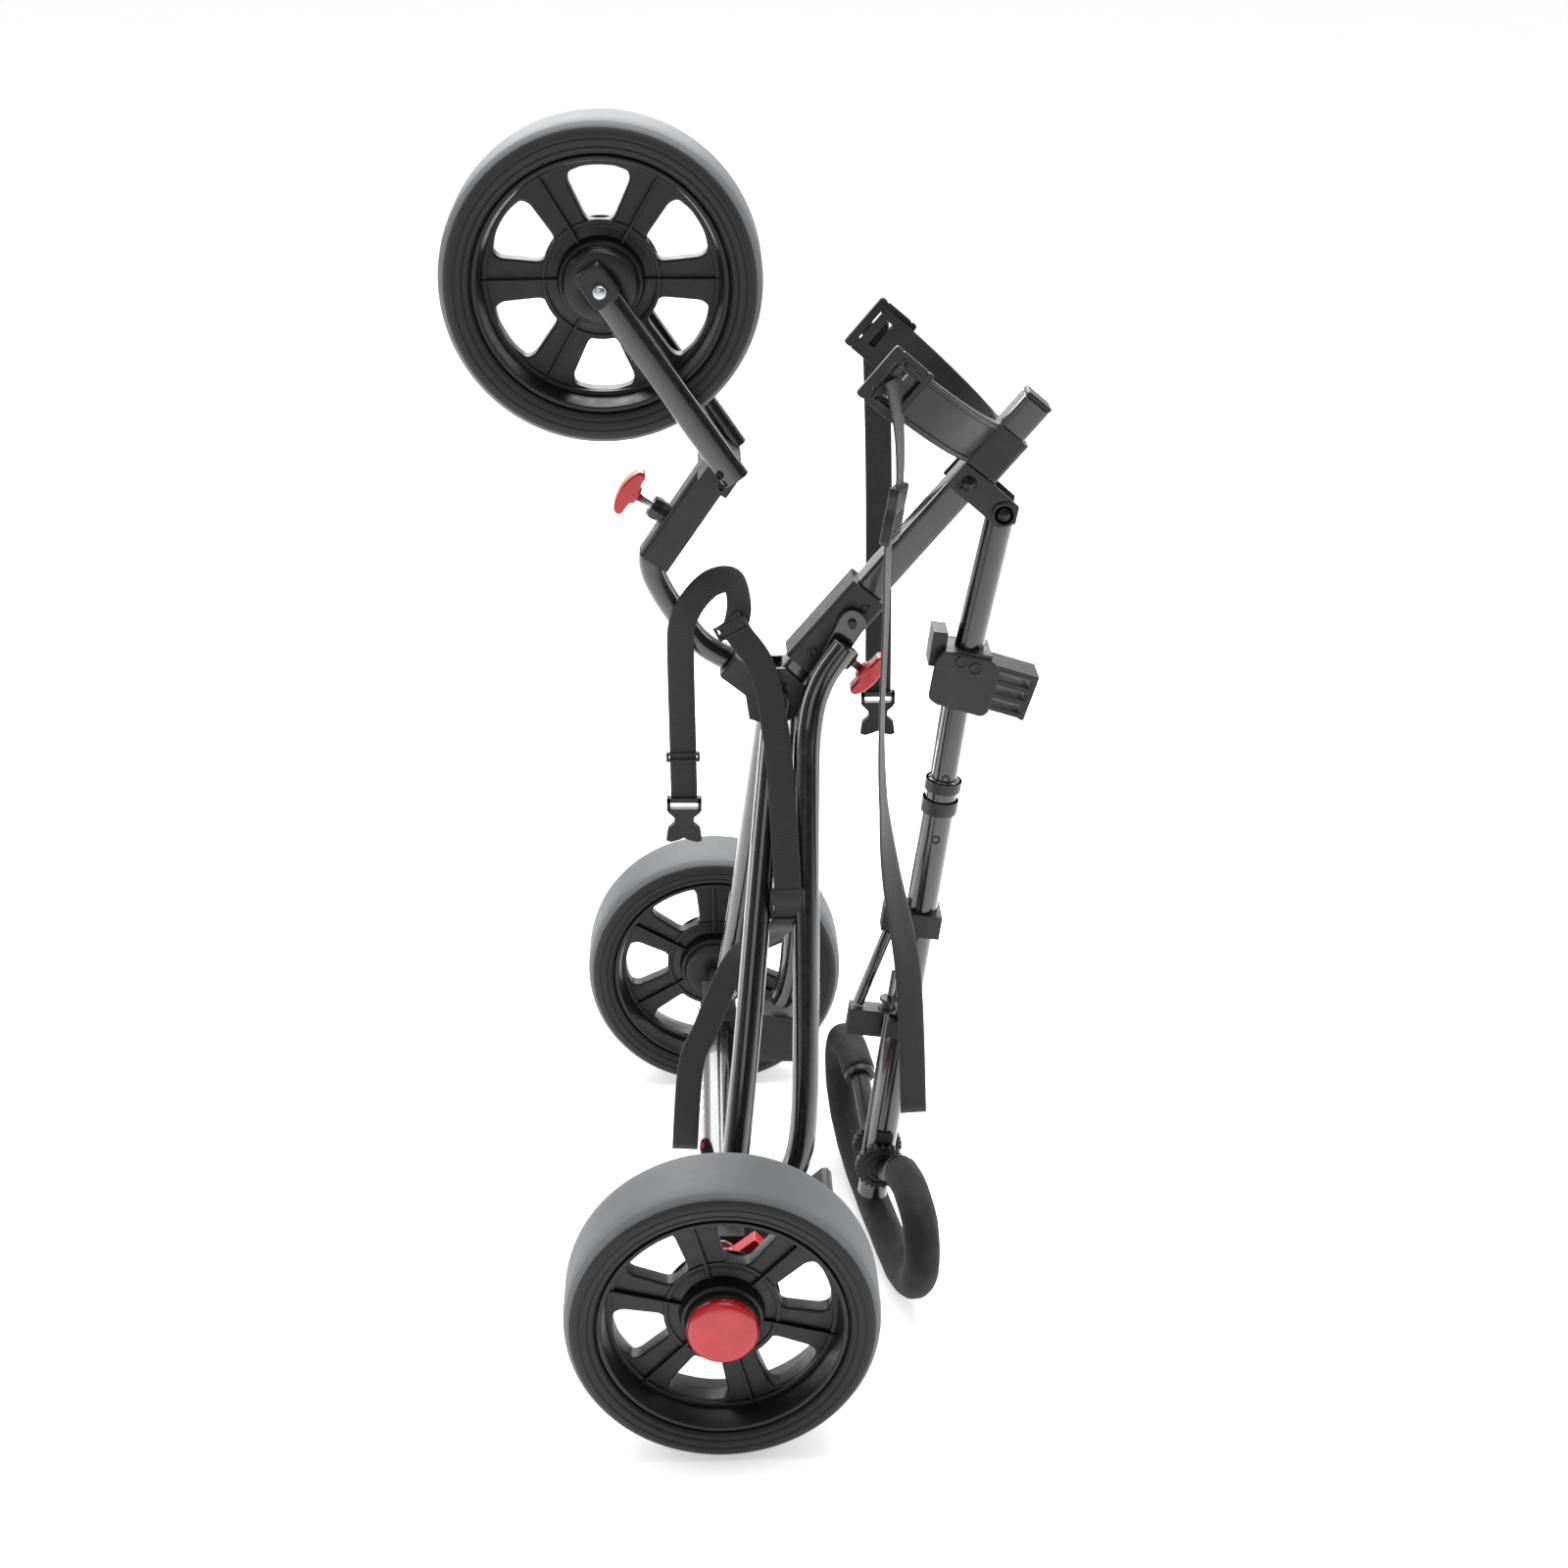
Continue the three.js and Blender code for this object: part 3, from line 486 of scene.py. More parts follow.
def ribbon(name, points, body, *nodes, across=(1, 0, 0), per=10, waist=1.0):
    path = smoothPath(points, per)
    bm = bmesh.new()
    rings = []
    lips = (-1, -0.9, -0.45, 0, 0.45, 0.9, 1)
    for i, p in enumerate(path):
        ahead = (path[min(i + 1, len(path) - 1)] - path[max(i - 1, 0)]).normalized()
        if isinstance(across[0], Vector):
            last = len(across) - 1
            side = across[min(i // per, last)].lerp(across[min(i // per + 1, last)], (i % per) / per)
        else:
            side = Vector(across)
        side = (side - ahead * side.dot(ahead)).normalized()
        out = side.cross(ahead)
        half, thick = webbingSize["width"] / 2000, webbingSize["thick"] / 2000
        edge = [thick * (0.35 if abs(u) == 1 else 1) for u in lips]
        crown = [0.0004 * (1 - u * u) for u in lips]
        front = [p + side * (u * half) + out * (e + c) for u, e, c in zip(lips, edge, crown)]
        back = [p + side * (u * half) - out * (e - c) for u, e, c in zip(lips, edge, crown)]
        rings.append([bm.verts.new(v) for v in front + back[::-1]])
    for a, b in zip(rings, rings[1:]):
        for k in range(len(a)):
            n = (k + 1) % len(a)
            bm.faces.new((a[k], a[n], b[n], b[k]))
    bm.faces.new(rings[0])
    bm.faces.new(rings[-1])
    ob = finished(fromBmesh(name, bm), "web", body, *nodes)
    return ob, path


def lengthOf(path):
    return sum((b - a).length for a, b in zip(path, path[1:]))


def strapCord(name, points, body, nodes, across=(1, 0, 0)):
    ob, path = ribbon(name, points, body, *nodes, across=across)
    lengthOf(path)
    return ob


def straight(start, end, turned=0.0):
    ahead = (end - start).normalized()
    facing = Vector((math.cos(math.radians(turned)), math.sin(math.radians(turned)), 0))
    side = (facing - ahead * facing.dot(ahead)).normalized()
    out = side.cross(ahead)
    return lambda a, b, c: start + side * (a / 1000) + ahead * (b / 1000) + out * (c / 1000)


def joined(name, pieces, look, body, *nodes):
    bm = bmesh.new()
    for ob in pieces:
        bm.from_mesh(ob.data)
        bpy.data.objects.remove(ob)
    mesh = bpy.data.meshes.new(name)
    bm.to_mesh(mesh)
    bm.free()
    made = bpy.data.objects.new(name, mesh)
    bpy.context.scene.collection.objects.link(made)
    return finished(made, look, body, *nodes)


def hookBuckle(name, start, end, body, node):
    to = straight(start, end)
    thick = 7
    wide = 16.5
    trident = [(-wide, 9), (wide, 9), (15, 13), (9.5, 18), (9, 24), (15.4, 30), (17, 42), (12, 43.5), (4, 41),
             (0, 39), (-4, 41), (-12, 43.5), (-17, 42), (-15.4, 30), (-9, 24), (-9.5, 18), (-15, 13)]
    strips = {"top": [(-wide, -2), (wide, -2), (wide, 3), (-wide, 3)],
              "near": [(-wide, -2), (-12.9, -2), (-12.9, 11), (-wide, 11)],
              "far": [(12.9, -2), (wide, -2), (wide, 11), (12.9, 11)],
              "lower": trident}
    bits = [plate(f"{name}_{label}", corners, thick, 0, "plastic", body, toWorld=to, round=0.8)
            for label, corners in strips.items()]
    return joined(name, bits, "plastic", body, node)


def socketBuckle(name, start, end, body, node, turned=0.0):
    to = straight(start, end, turned)
    shell = [(-14.5, 0), (14.5, 0), (16, 6), (14.2, 22), (16.5, 32), (16.5, 50), (14, 53), (-14, 53),
             (-16.5, 50), (-16.5, 32), (-14.2, 22), (-16, 6)]
    pieces = [plate(name + "_shell", shell, 10, 0, "plastic", body, toWorld=to, bevel=0.0024, round=4)]
    for k in range(7):
        b = 24 + 3.4 * k
        pieces.append(plate(f"{name}_rib_{k}", [(-12, b), (12, b), (12, b + 1.6), (-12, b + 1.6)], 11.6, 0,
                            "plastic", body, toWorld=to, bevel=0.0005))
    return joined(name, pieces, "plastic", body, node)


def keeper(name, start, end, body, high=9):
    to = straight(start, end)
    out = []
    for b in (0, high - 2.6):
        bar = [(-15.5, b), (15.5, b), (15.5, b + 2.6), (-15.5, b + 2.6)]
        out.append(plate(f"{name}_bar_{b}", bar, 5.4, 0, "plastic", body, toWorld=to, bevel=0.0008))
    for side in (-1, 1):
        upright = [(13 * side, 0), (15.8 * side, 0), (15.8 * side, high), (13 * side, high)]
        out.append(plate(f"{name}_side_{side + 1}", upright, 5.4, 0, "plastic", body, toWorld=to,
                         bevel=0.0008))
    return joined(name, out, "plastic", body)


cradleY = webbingSize["cradleY"]
upperHook = hookBuckle("upper_hook_buckle", at(tip[0] + 4, 412, cradleY), at(tip[0] + 4, 384, cradleY),
                       "frame", "upper_buckle_hook")
strapCord("upper_far_strap", [at(x, z, cradleY) for x, z in
          ((tip[0] - 4, tip[1] + 8), (tip[0] - 1, tip[1] - 60), (tip[0] + 2, 600), (tip[0] + 4, 412))],
          "frame", ["upper_strap_far"])
upperSocket = socketBuckle("upper_socket_buckle", at(tip[0] + 5, 684, -cradleY),
                           at(tip[0] - 4, 629, -cradleY), "frame", "upper_buckle_socket", turned=68)
upperRun = ((-2, 776), (4, 730), (5, 684), (0, 655), (-4, 628), (-5, 560), (-7, 455), (-4, 380), (4, 310),
            (22, 205), (30, 55))
edgeOn = [Vector((math.cos(math.radians(a)), math.sin(math.radians(a)), 0))
          for a in (52, 68, 72, 72, 72, 74, 76, 70, 45, 12, 0)]
strapCord("upper_near_strap", [at(tip[0] + x, z, -cradleY) for x, z in upperRun],
          "frame", ["upper_strap_near", "upper_strap_end"], across=edgeOn)

lowerHook = hookBuckle("lower_hook_buckle", at(-28, 352, -14.5), at(-29, 302, -14.5), "front_arm",
                       "lower_strap_hook")
lowerKeeper = keeper("lower_keeper", at(-28.4, 400, -14.5), at(-28.2, 380, -14.5), "front_arm")
loopRun = [at(18, 512, -17), at(25, 542, -14), at(20, 566, -9), at(2, 566, -9), at(-16, 550, -12),
           at(-27, 528, -14.5), at(-29, 500, -14.5), at(-28.5, 420, -14.5), at(-28, 352, -14.5)]
turn = [Vector(v) for v in ((0.8, 0.2, -0.55), (0.9, 0.35, -0.3), (0.35, 0.6, 0.75), (-0.1, 0.35, 1),
                            (-0.55, 0.15, 0.85), (-0.95, 0.1, 0.3), (-1, 0, 0), (-1, 0, 0), (-1, 0, 0))]
strapCord("lower_loop_strap", loopRun, "front_arm", ["lower_strap_loop"],
          across=turn)
lean = [(14, 533), (27, 516), (46, 488), (58, 429), (64, 346), (66, 302)]
leanY = [min(-46 + 0.41 * (z - 454), -19.5) for _, z in lean]
foldRing = keeper("lower_ring", at(15, 531, -18.6), at(22, 517, -18.6), "front_arm", 14)
adjuster = keeper("lower_adjuster", at(66, 302, leanY[-1]), at(66.5, 264, leanY[-1] + 6), "front_arm", 34)
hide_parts("lower_strap_slider")
lowerRun = [at(x, z, y) for (x, z), y in zip(lean, leanY)]
lowerRun += [at(x, z, y) for x, z, y in ((66.5, 282, -106), (64, 262, -99), (52, 238, -76), (20, 205, -61),
                                         (-12, 127, -60), (-26, 87, -60), (-33, -5, -60))]
strapCord("lower_tail_strap", lowerRun, "front_arm", ["lower_strap_tail", "lower_strap_end"])
print("straps made")


# wheels: smooth foam tyre, six-spoke rim, hub cap
wheel = {"tread": 0.1335, "spokes": 6}
tyreSide = [(112.3, 34.5), (114, 37.5), (117.4, 38.4), (118.4, 37.4), (119.6, 39.2), (124.4, 40),
            (125.6, 38.9), (127, 40.2), (131.5, 39.4), (135.5, 36.6), (138.6, 31), (139.7, 24)]


def tyreProfile():
    side = rounded(tyreSide, 1.6, 4)
    tread = [(140, 18), (140, 6), (140, -6), (140, -18)]
    return side + tread + [(r, -h) for r, h in side[::-1]] + [(112.3, 0), (112.3, 34.5)]


def spokeWeb(name, centre, firstSpoke):
    curve = bpy.data.curves.new(name, "CURVE")
    curve.dimensions = "2D"
    curve.fill_mode = "BOTH"
    curve.extrude = 0.0065
    curve.bevel_depth = 0.0022
    curve.bevel_resolution = 3
    shrink = 2.2

    def loop(points):
        spline = curve.splines.new("POLY")
        spline.points.add(len(points) - 1)
        for k, (u, v) in enumerate(points):
            spline.points[k].co = (u / 1000, v / 1000, 0, 1)
        spline.use_cyclic_u = True

    for r in (106 - shrink, 30 + shrink):
        loop([(r * math.cos(a), r * math.sin(a)) for a in (2 * math.pi * k / 144 for k in range(144))])
    for i in range(wheel["spokes"]):
        a = firstSpoke + (i + 0.5) * math.pi / 3
        ahead, side = Vector((math.sin(a), math.cos(a))), Vector((math.cos(a), -math.sin(a)))
        half = [(50.5, 0), (51.5, 12), (84, 27), (93, 25.5), (97.5, 12), (98.5, 0)]
        ring = half + [(r, -w) for r, w in half[-2:0:-1]]
        corners = [ahead * r + side * w for r, w in ring]
        outline = []
        n = len(corners)
        for k in range(n):
            p, q, r = corners[k - 1], corners[k], corners[(k + 1) % n]
            d = min(9, (q - p).length * 0.48, (r - q).length * 0.48)
            first, last = q + (p - q).normalized() * d, q + (r - q).normalized() * d
            for j in range(5):
                t = j / 4
                outline.append(tuple(first * (1 - t) ** 2 + q * 2 * t * (1 - t) + last * t * t))
        grown = [Vector(p) + (Vector(p) - ahead * 76).normalized() * shrink for p in outline]
        loop([(p.x, p.y) for p in grown])
    ob = bpy.data.objects.new(name, curve)
    bpy.context.scene.collection.objects.link(ob)
    ob.rotation_euler = (math.radians(90), 0, 0)
    ob.location = centre
    bpy.context.view_layer.update()
    matrix = ob.matrix_world.copy()
    made = applied(ob)
    made.data.transform(matrix)
    return made


def makeWheel(prefix, centre, firstSpoke, body, capSide, capLook, capHeight, bored=False):
    tyre = lathe(prefix + "_foam_tyre", tyreProfile(), centre, (0, 1, 0), "tyre", body, prefix + "_tyre",
                 segments=144)
    # faces inside the tread radius take the darker copy: painted shade on the sidewalls, painted light on the
    # tread
    tyre.data.materials.append(finish["painted_shade_sidewall"])
    for face in tyre.data.polygons:
        offset = face.center - centre
        face.material_index = int(math.hypot(offset.x, offset.z) < wheel["tread"])
    barrel = rounded([(112.2, -33), (112.2, -30.5), (110.5, -31), (110.5, -35.5), (106.5, -35.5),
                      (103.6, -20), (102, -9), (102, 9), (103.6, 20), (106.5, 35.5), (110.5, 35.5),
                      (110.5, 31), (112.2, 30.5), (112.2, 33)], 1.2, 3)
    hub = rounded([(6.2, -32.5), (30.5, -32.5), (32, -31), (33.5, -25), (36.5, -24), (38, -10), (46, -8.6),
                   (46, 8.6), (38, 10), (36.5, 24), (33.5, 25), (32, 31), (30.5, 32.5), (6.2, 32.5)], 1.2, 3)
    sideways = (0, 1, 0)
    bits = [lathe(prefix + "_barrel", barrel + [(112.2, 0), barrel[0]], centre, sideways, "rim", body,
                  segments=144),
            lathe(prefix + "_hub", hub + [(6.2, 0), hub[0]], centre, sideways, "rim", body, segments=96),
            spokeWeb(prefix + "_web", centre, firstSpoke)]
    for r, h, wide in ((50, 10.4, 2.2), (101.5, 11.5, 3)):
        for side in (-1, 1):
            ring = rounded([(r - wide, 8 * side), (r - wide, h * side), (r + wide, h * side),
                            (r + wide, 8 * side)], 0.8, 3)
            bits.append(lathe(f"{prefix}_ring_{r}_{side + 1}", ring, centre, sideways, "rim", body,
                              segments=144))
    for i in range(wheel["spokes"]):
        a = firstSpoke + i * math.pi / 3
        ahead, side = Vector((math.sin(a), 0, math.cos(a))), Vector((math.cos(a), 0, -math.sin(a)))
        for face in (-1, 1):
            to = lambda u, v, c, f=ahead, s=side: (centre + f * (u / 1000) + s * (v / 1000)
                                                    + Vector((0, c / 1000, 0)))
            rib = [(34, -1.5), (34, 1.5), (104, 1.1), (104, -1.1)]
            bits.append(plate(f"{prefix}_rib_{i}_{face + 1}", rib, 7, 9.8 * face, "rim", body, toWorld=to,
                              bevel=0.0008))
    joined(prefix + "_spoked_rim", bits, "rim", body, prefix + "_rim")
    cap = rounded([(6.4 if bored else 0, 0.2), (32, 0.2), (32, capHeight * 0.55), (29.5, capHeight * 0.84),
                   (24, capHeight * 0.97), (0 if not bored else 14, capHeight)], 3, 5)
    if bored:
        cap += [(12, capHeight - 1.6), (8.4, capHeight - 1.6), (6.4, capHeight - 1.2)]
    lathe(prefix + "_cap", cap, centre + Vector((0, capSide * 0.0328, 0)), (0, capSide, 0), capLook, body,
          prefix + "_hub_cap", segments=96)


frontHub = at(-91.8, 843.8)
makeWheel("near_wheel", at(0, 0, -327), -0.27, "near_wheel", -1, "red", 13)
makeWheel("far_wheel", at(0, 0, 327), 0.0, "far_wheel", 1, "red", 13)
makeWheel("front_wheel", frontHub, math.radians(30), "front_wheel", -1, "plastic", 9, bored=True)
print("wheels made")


# bolts, axles and screws
def bolt(name, centre, halfLength, body, *nodes, radius=4.0, head=7.0, thick=4.5, axis=(0, 1, 0)):
    low, high = -halfLength, halfLength
    profile = [(0, low), (head * 0.5, low), (head * 0.55, low + 1.2), (head * 0.85, low + 1.0),
               (head, low + 2.4), (head, low + thick), (head + 2, low + thick), (head + 2, low + thick + 1.4),
               (radius, low + thick + 1.4), (radius, high - thick - 1.4), (head + 2, high - thick - 1.4),
               (head + 2, high - thick), (head * 0.95, high - thick), (head * 0.95, high - 1.4),
               (head * 0.8, high - 0.3), (radius, high - 0.3), (radius - 0.6, high), (0, high)]
    return lathe(name, profile, centre, axis, "bolt", body, *nodes, segments=36)


def screw(name, centre, axis, radius, body, look="bolt"):
    profile = [(0, -0.9), (radius * 0.4, -0.9), (radius * 0.46, 1.2), (radius * 0.8, 0.9), (radius, 0.1),
               (radius, -1.5)]
    return lathe(name, profile, centre, axis, look, body, segments=30)


kneeAt = at(*knee)
bolt("knee_pivot", kneeAt, 32.9, "frame", "knee_bolt", head=7.5, thick=6.0)
foldAt = spine(268, -43.6)
bolt("fold_pivot", foldAt, 22.3, "frame", "fold_bolt", head=6.2, thick=3.2)
bolt("bracket_pivot", spine(269), 22.3, "frame", "bracket_bolt", head=5.4, thick=3.2)
ratchetAt = shaft(math.dist(clampTop, tubeEnd) - 44)
bolt("ratchet_pivot", ratchetAt, 20.3, "handle_lower", "ratchet_bolt", head=6.5, thick=3)


def axle(name, centre, half, body, node):
    profile = [(0, -half), (4.6, -half), (6, -half + 1.4), (6, half - 1.4), (4.6, half), (0, half)]
    lathe(name, profile, centre, (0, 1, 0), "steel", body, node, segments=40)


axle("rear_axle_rod", at(0, 0), 357.5, "rear_frame", "rear_axle")
axle("front_axle_rod", frontHub, 62, "fork", "front_axle")
print("bolts and axles made")


# tubes, with their diameters in millimetres
tubeSize = {"spine": 28, "neck": 23, "leg": 25, "crossbar": 37, "clip": 7, "blade": 26, "upper": 27.4,
            "inner": 24, "lower": 30, "side": 14, "rod": 11}
tube("spine_square_tube", [spine(-20), spine(361)], tubeSize["spine"], "tube", "frame", "spine_tube",
     sides=48, square=True)
neckTurn = [steer(4), steer(-60), steer(-116)]
neckEnd = at(*step(knee, neckAngle, 55.3))
neckLow = at(*step(knee, neckAngle, 96))
tube("neck_tube", neckTurn + [neckLow, neckEnd], tubeSize["neck"], "tube", "front_arm", "front_arm_tube",
     per=12)
legRun = ((56, 36, 430), (44, 78, 320), (25, 152, 145), (10, 200, 26))
strutRun = ((122, 33, 512), (100, 38, 480), (88, 50, 440), (84.5, 71, 360), (81, 148, 100), (69, 168, 34))
strutPivot = step(knee, spineAngle, 104, -4)


def lug(name, pivot, end, y, thick, radius, look, body):
    ahead = (Vector(end) - Vector(pivot)).normalized()
    side = Vector((-ahead.y, ahead.x))
    heading = math.atan2(side.y, side.x)
    outline = [Vector(pivot) + Vector((math.cos(heading + a), math.sin(heading + a))) * radius
               for a in (math.pi * k / 14 for k in range(15))]
    outline += [Vector(end) - side * radius * 0.8, Vector(end) + side * radius * 0.8]
    return plate(name, [tuple(p) for p in outline], thick, y, look, body, bevel=0.0008)


for side, label in ((-1, "near"), (1, "far")):
    pieces = [tube(f"{label}_leg", [at(x, z, side * y) for x, y, z in legRun], tubeSize["leg"], "tube",
                   "rear_frame", per=10),
              lug(f"{label}_leg_lug", knee, (55, 425), side * 25.4, 5, 12.5, "tube", "rear_frame")]
    joined(f"{label}_leg_tube", pieces, "tube", "rear_frame", "rear_leg_" + label)
    pieces = [tube(f"{label}_strut", [at(x, z, side * y) for x, y, z in strutRun], tubeSize["leg"], "tube",
                   "struts", per=10),
              lug(f"{label}_strut_lug", strutPivot, (110, 498), side * 25.4, 5, 12.5, "tube", "struts")]
    joined(f"{label}_strut_tube", pieces, "tube", "struts", "strut_" + label)
tube("crossbar_tube", [at(0, 0, -155), at(0, 0, 155)], tubeSize["crossbar"], "stripe", "rear_frame",
     "axle_crossbar", sides=48)
tube("wire_clip", [at(-4, 24, 120), at(-9, 33, 127), at(-14, 40, 135), at(-18, 40, 142)],
     tubeSize["clip"], "steel", "rear_frame", "crossbar_clip", sides=20)
forkTop = step(sleeveTop, steerAngle, 4, -12)
for side, label in ((-1, "near"), (1, "far")):
    tube(f"{label}_fork_blade", [at(-103, 861, side * 50), at(*forkTop, side * 50)], tubeSize["blade"],
         "tube", "fork", "fork_leg_" + label, sides=40, squash=(13, tubeSize["blade"]))
tube("handle_top_tube", [foldAt, at(*clampTop)], tubeSize["upper"], "tube", "handle",
     "handle_upper_tube", sides=40)
tube("handle_middle_tube", [shaft(4), shaft(300)], tubeSize["inner"], "tube", "handle", "handle_inner_tube",
     sides=36)
tube("handle_bottom_tube", [shaft(108), shaft(573)], tubeSize["lower"], "tube", "handle_lower",
     "handle_lower_tube", sides=40)
tube("handle_thin_tube", [at(227, 446, 33), at(201, 240, 33)], tubeSize["side"], "tube", "handle",
     "handle_side_tube", sides=28)
tube("console_link_rod", [shaft(274, -28), shaft(357, -46)], tubeSize["rod"], "tube", "handle_lower",
     "console_rod", sides=20)
print("tubes made")


# handle hoop with its foam grip and ratchet
hoopYaw = math.radians(8.5)
ratchetLow = (ratchetAt.z - axleAt.z) * 1000
hoopRun = [(22.3, ratchetLow), (40.3, ratchetLow + 4), (95, -14), (140, -8), (178, -20), (190, -50),
           (179, -80), (150, -104), (105, -117.5), (40, -122)]


def hoopPoint(t, z):
    return Vector((ratchetAt.x - t * math.sin(hoopYaw) / 1000, t * math.cos(hoopYaw) / 1000,
                   axleAt.z + z / 1000))


def hoopPoints(run):
    return [hoopPoint(-t, z) for t, z in run] + [hoopPoint(t, z) for t, z in run[::-1]]


def toothedDisc(name, y):
    teeth = 24
    outline = []
    for i in range(teeth):
        for share, r in ((0.0, 22.6), (0.28, 22.6), (0.42, 25), (0.86, 25)):
            a = 2 * math.pi * (i + share) / teeth
            outline.append((ratchetAt.x * 1000 + r * math.cos(a), ratchetAt.z * 1000 + r * math.sin(a)))
    return plate(name, outline, 9, y, "plastic", "hoop", bevel=0.0006,
                 toWorld=lambda a, b, c: Vector((a, c, b)) / 1000)


def ringed(name, centre, axis, outer, inner, height, body, look="plastic", start=0.0):
    end = start + height
    profile = rounded([(inner, start), (inner, end), (outer, end), (outer, start)], 0.8, 3)
    return lathe(name, profile, centre, axis, look, body, segments=64)


hoopBits = [tube("hoop_core", hoopPoints(hoopRun), 19, "plastic", "hoop", per=12),
            toothedDisc("near_disc", -19.8), toothedDisc("far_disc", 19.8)]
for sign in (-1, 1):
    for r in (11, 17.5):
        hoopBits.append(ringed(f"disc_ring_{sign + 1}_{r}", ratchetAt + Vector((0, sign * 0.0242, 0)),
                               (0, sign, 0), r + 1.6, r, 1.4, "hoop"))
joined("hoop_core_tube", hoopBits, "plastic", "hoop", "hoop_frame")
grip = {"diameter": 34, "seam": 1.2}


def gripTube():
    path = smoothPath(hoopPoints(hoopRun[2:]), 14)
    bm = bmesh.new()
    rings = []
    across = Vector((0, 0, 1))
    sides = 40
    for i, p in enumerate(path):
        ahead = (path[min(i + 1, len(path) - 1)] - path[max(i - 1, 0)]).normalized()
        side = (across - ahead * across.dot(ahead)).normalized()
        up = ahead.cross(side)
        across = side
        end = min(i, len(path) - 1 - i)
        lip = 0.86 + 0.14 * min(1.0, end / 2)
        ring = []
        for k in range(sides):
            a = 2 * math.pi * k / sides
            r = grip["diameter"] / 2000 * lip
            r -= grip["seam"] / 1000 * math.exp(-((a - math.pi) / 0.09) ** 2)
            r += 0.00025 * math.sin(7 * a + i * 0.31) * math.sin(i * 0.17)
            ring.append(bm.verts.new(p + side * (r * math.cos(a)) + up * (r * math.sin(a))))
        rings.append(ring)
    for a, b in zip(rings, rings[1:]):
        for k in range(sides):
            n = (k + 1) % sides
            bm.faces.new((a[k], a[n], b[n], b[k]))
    bm.faces.new(rings[0])
    bm.faces.new(rings[-1])
    ob = finished(fromBmesh("hoop_foam_grip", bm), "grip", "hoop", "hoop_grip")
    return ob


gripTube()
for sign in (-1, 1):
    here, there = hoopPoint(sign * 95, -14), hoopPoint(sign * 60, -30)
    ringed(f"grip_collar_{sign + 1}", here, there - here, 15.5, 9.6, 6, "hoop", start=-1)
print("hoop made")


# moulded pieces keep their shape, with rounded edges
for node, look, edge in (
        ("spine_end_cap", "plastic", 0.0016), ("knee_bracket", "plastic", 0.001),
        ("knee_rest_knob", "plastic", 0.0014), ("handle_bracket", "plastic", 0.001),
        ("axle_fitting_near", "plastic", 0.003), ("axle_fitting_far", "plastic", 0.003),
        ("front_arm_yoke", "plastic", 0.001), ("brake_pedal", "red", 0.0025),
        ("handle_clamp", "plastic", 0.0025), ("console_clamp_upper", "plastic", 0.002),
        ("console_clamp_lower", "plastic", 0.002), ("slide_collar", "plastic", 0.0014),
        ("steering_sleeve", "plastic", 0.0014), ("bag_cradle", "plastic", 0.0012)):
    softened(node, look, edge)


def along(place, angle):
    return lambda a, b, c: at(*step(place, angle, a, b), c)


# knobs on their sprung pins
def knobShape():
    right = [(5, 0), (7, 3.4), (13, 4.2), (20, 4), (23, 7), (22, 12), (16, 15.4), (8, 17.8), (0, 18.5)]
    return right + [(-x, y) for x, y in right[-2::-1]]


def pull(name, place, angle, body, knobNode, pinNode, pinFrom):
    to = along(place, angle)
    wing = plate(name + "_wing", knobShape(), 18, 0, "red", body, toWorld=to, bevel=0.0028, round=3)
    hub = lathe(name + "_hub", rounded([(0, 0), (8.4, 0), (9.6, 4), (7.6, 12), (0, 13)], 2, 4), to(0, 0, 0),
                to(0, 1, 0) - to(0, 0, 0), "red", body, segments=40)
    joined(name + "_knob", [wing, hub], "red", body, knobNode)
    up = to(0, 1, 0) - to(0, 0, 0)
    lathe(name + "_pin_rod", [(0, -pinFrom), (3.2, -pinFrom), (4, 0.8 - pinFrom), (4, -0.4), (0, -0.4)],
          to(0, 0, 0), up, "steel", body, pinNode, segments=32)


collarPin = step(knee, spineAngle, 69, -46.3)
pull("collar", collarPin, spineAngle + math.pi, "collar_lock", "collar_knob", "collar_pin", 31.9)
steerPin = step(sleeveTop, steerAngle, -70, 44.3)
pull("steering", steerPin, steerAngle, "steer_lock", "steering_knob", "steering_pin", 32.4)


def plungerNut(name, centre, axis, body, radius=11, height=8, start=0.0):
    corners = [(radius * math.cos(math.pi * k / 3), radius * math.sin(math.pi * k / 3)) for k in range(6)]
    side = Vector((0, 1, 0))
    axis = axis.normalized()
    up = axis.cross(side)
    return plate(name, corners, height, start + height / 2, "plastic", body, bevel=0.0009,
                 toWorld=lambda a, b, c: centre + side * (a / 1000) + up * (b / 1000) + axis * (c / 1000))


plungerNut("collar_hex", spine(69, -26), spine(69, -30) - spine(69, -26), "collar", radius=11.2, height=7)
plungerNut("steering_hex", steer(-70, 21), steer(-70, 30) - steer(-70, 21), "fork", radius=11.2, height=7)

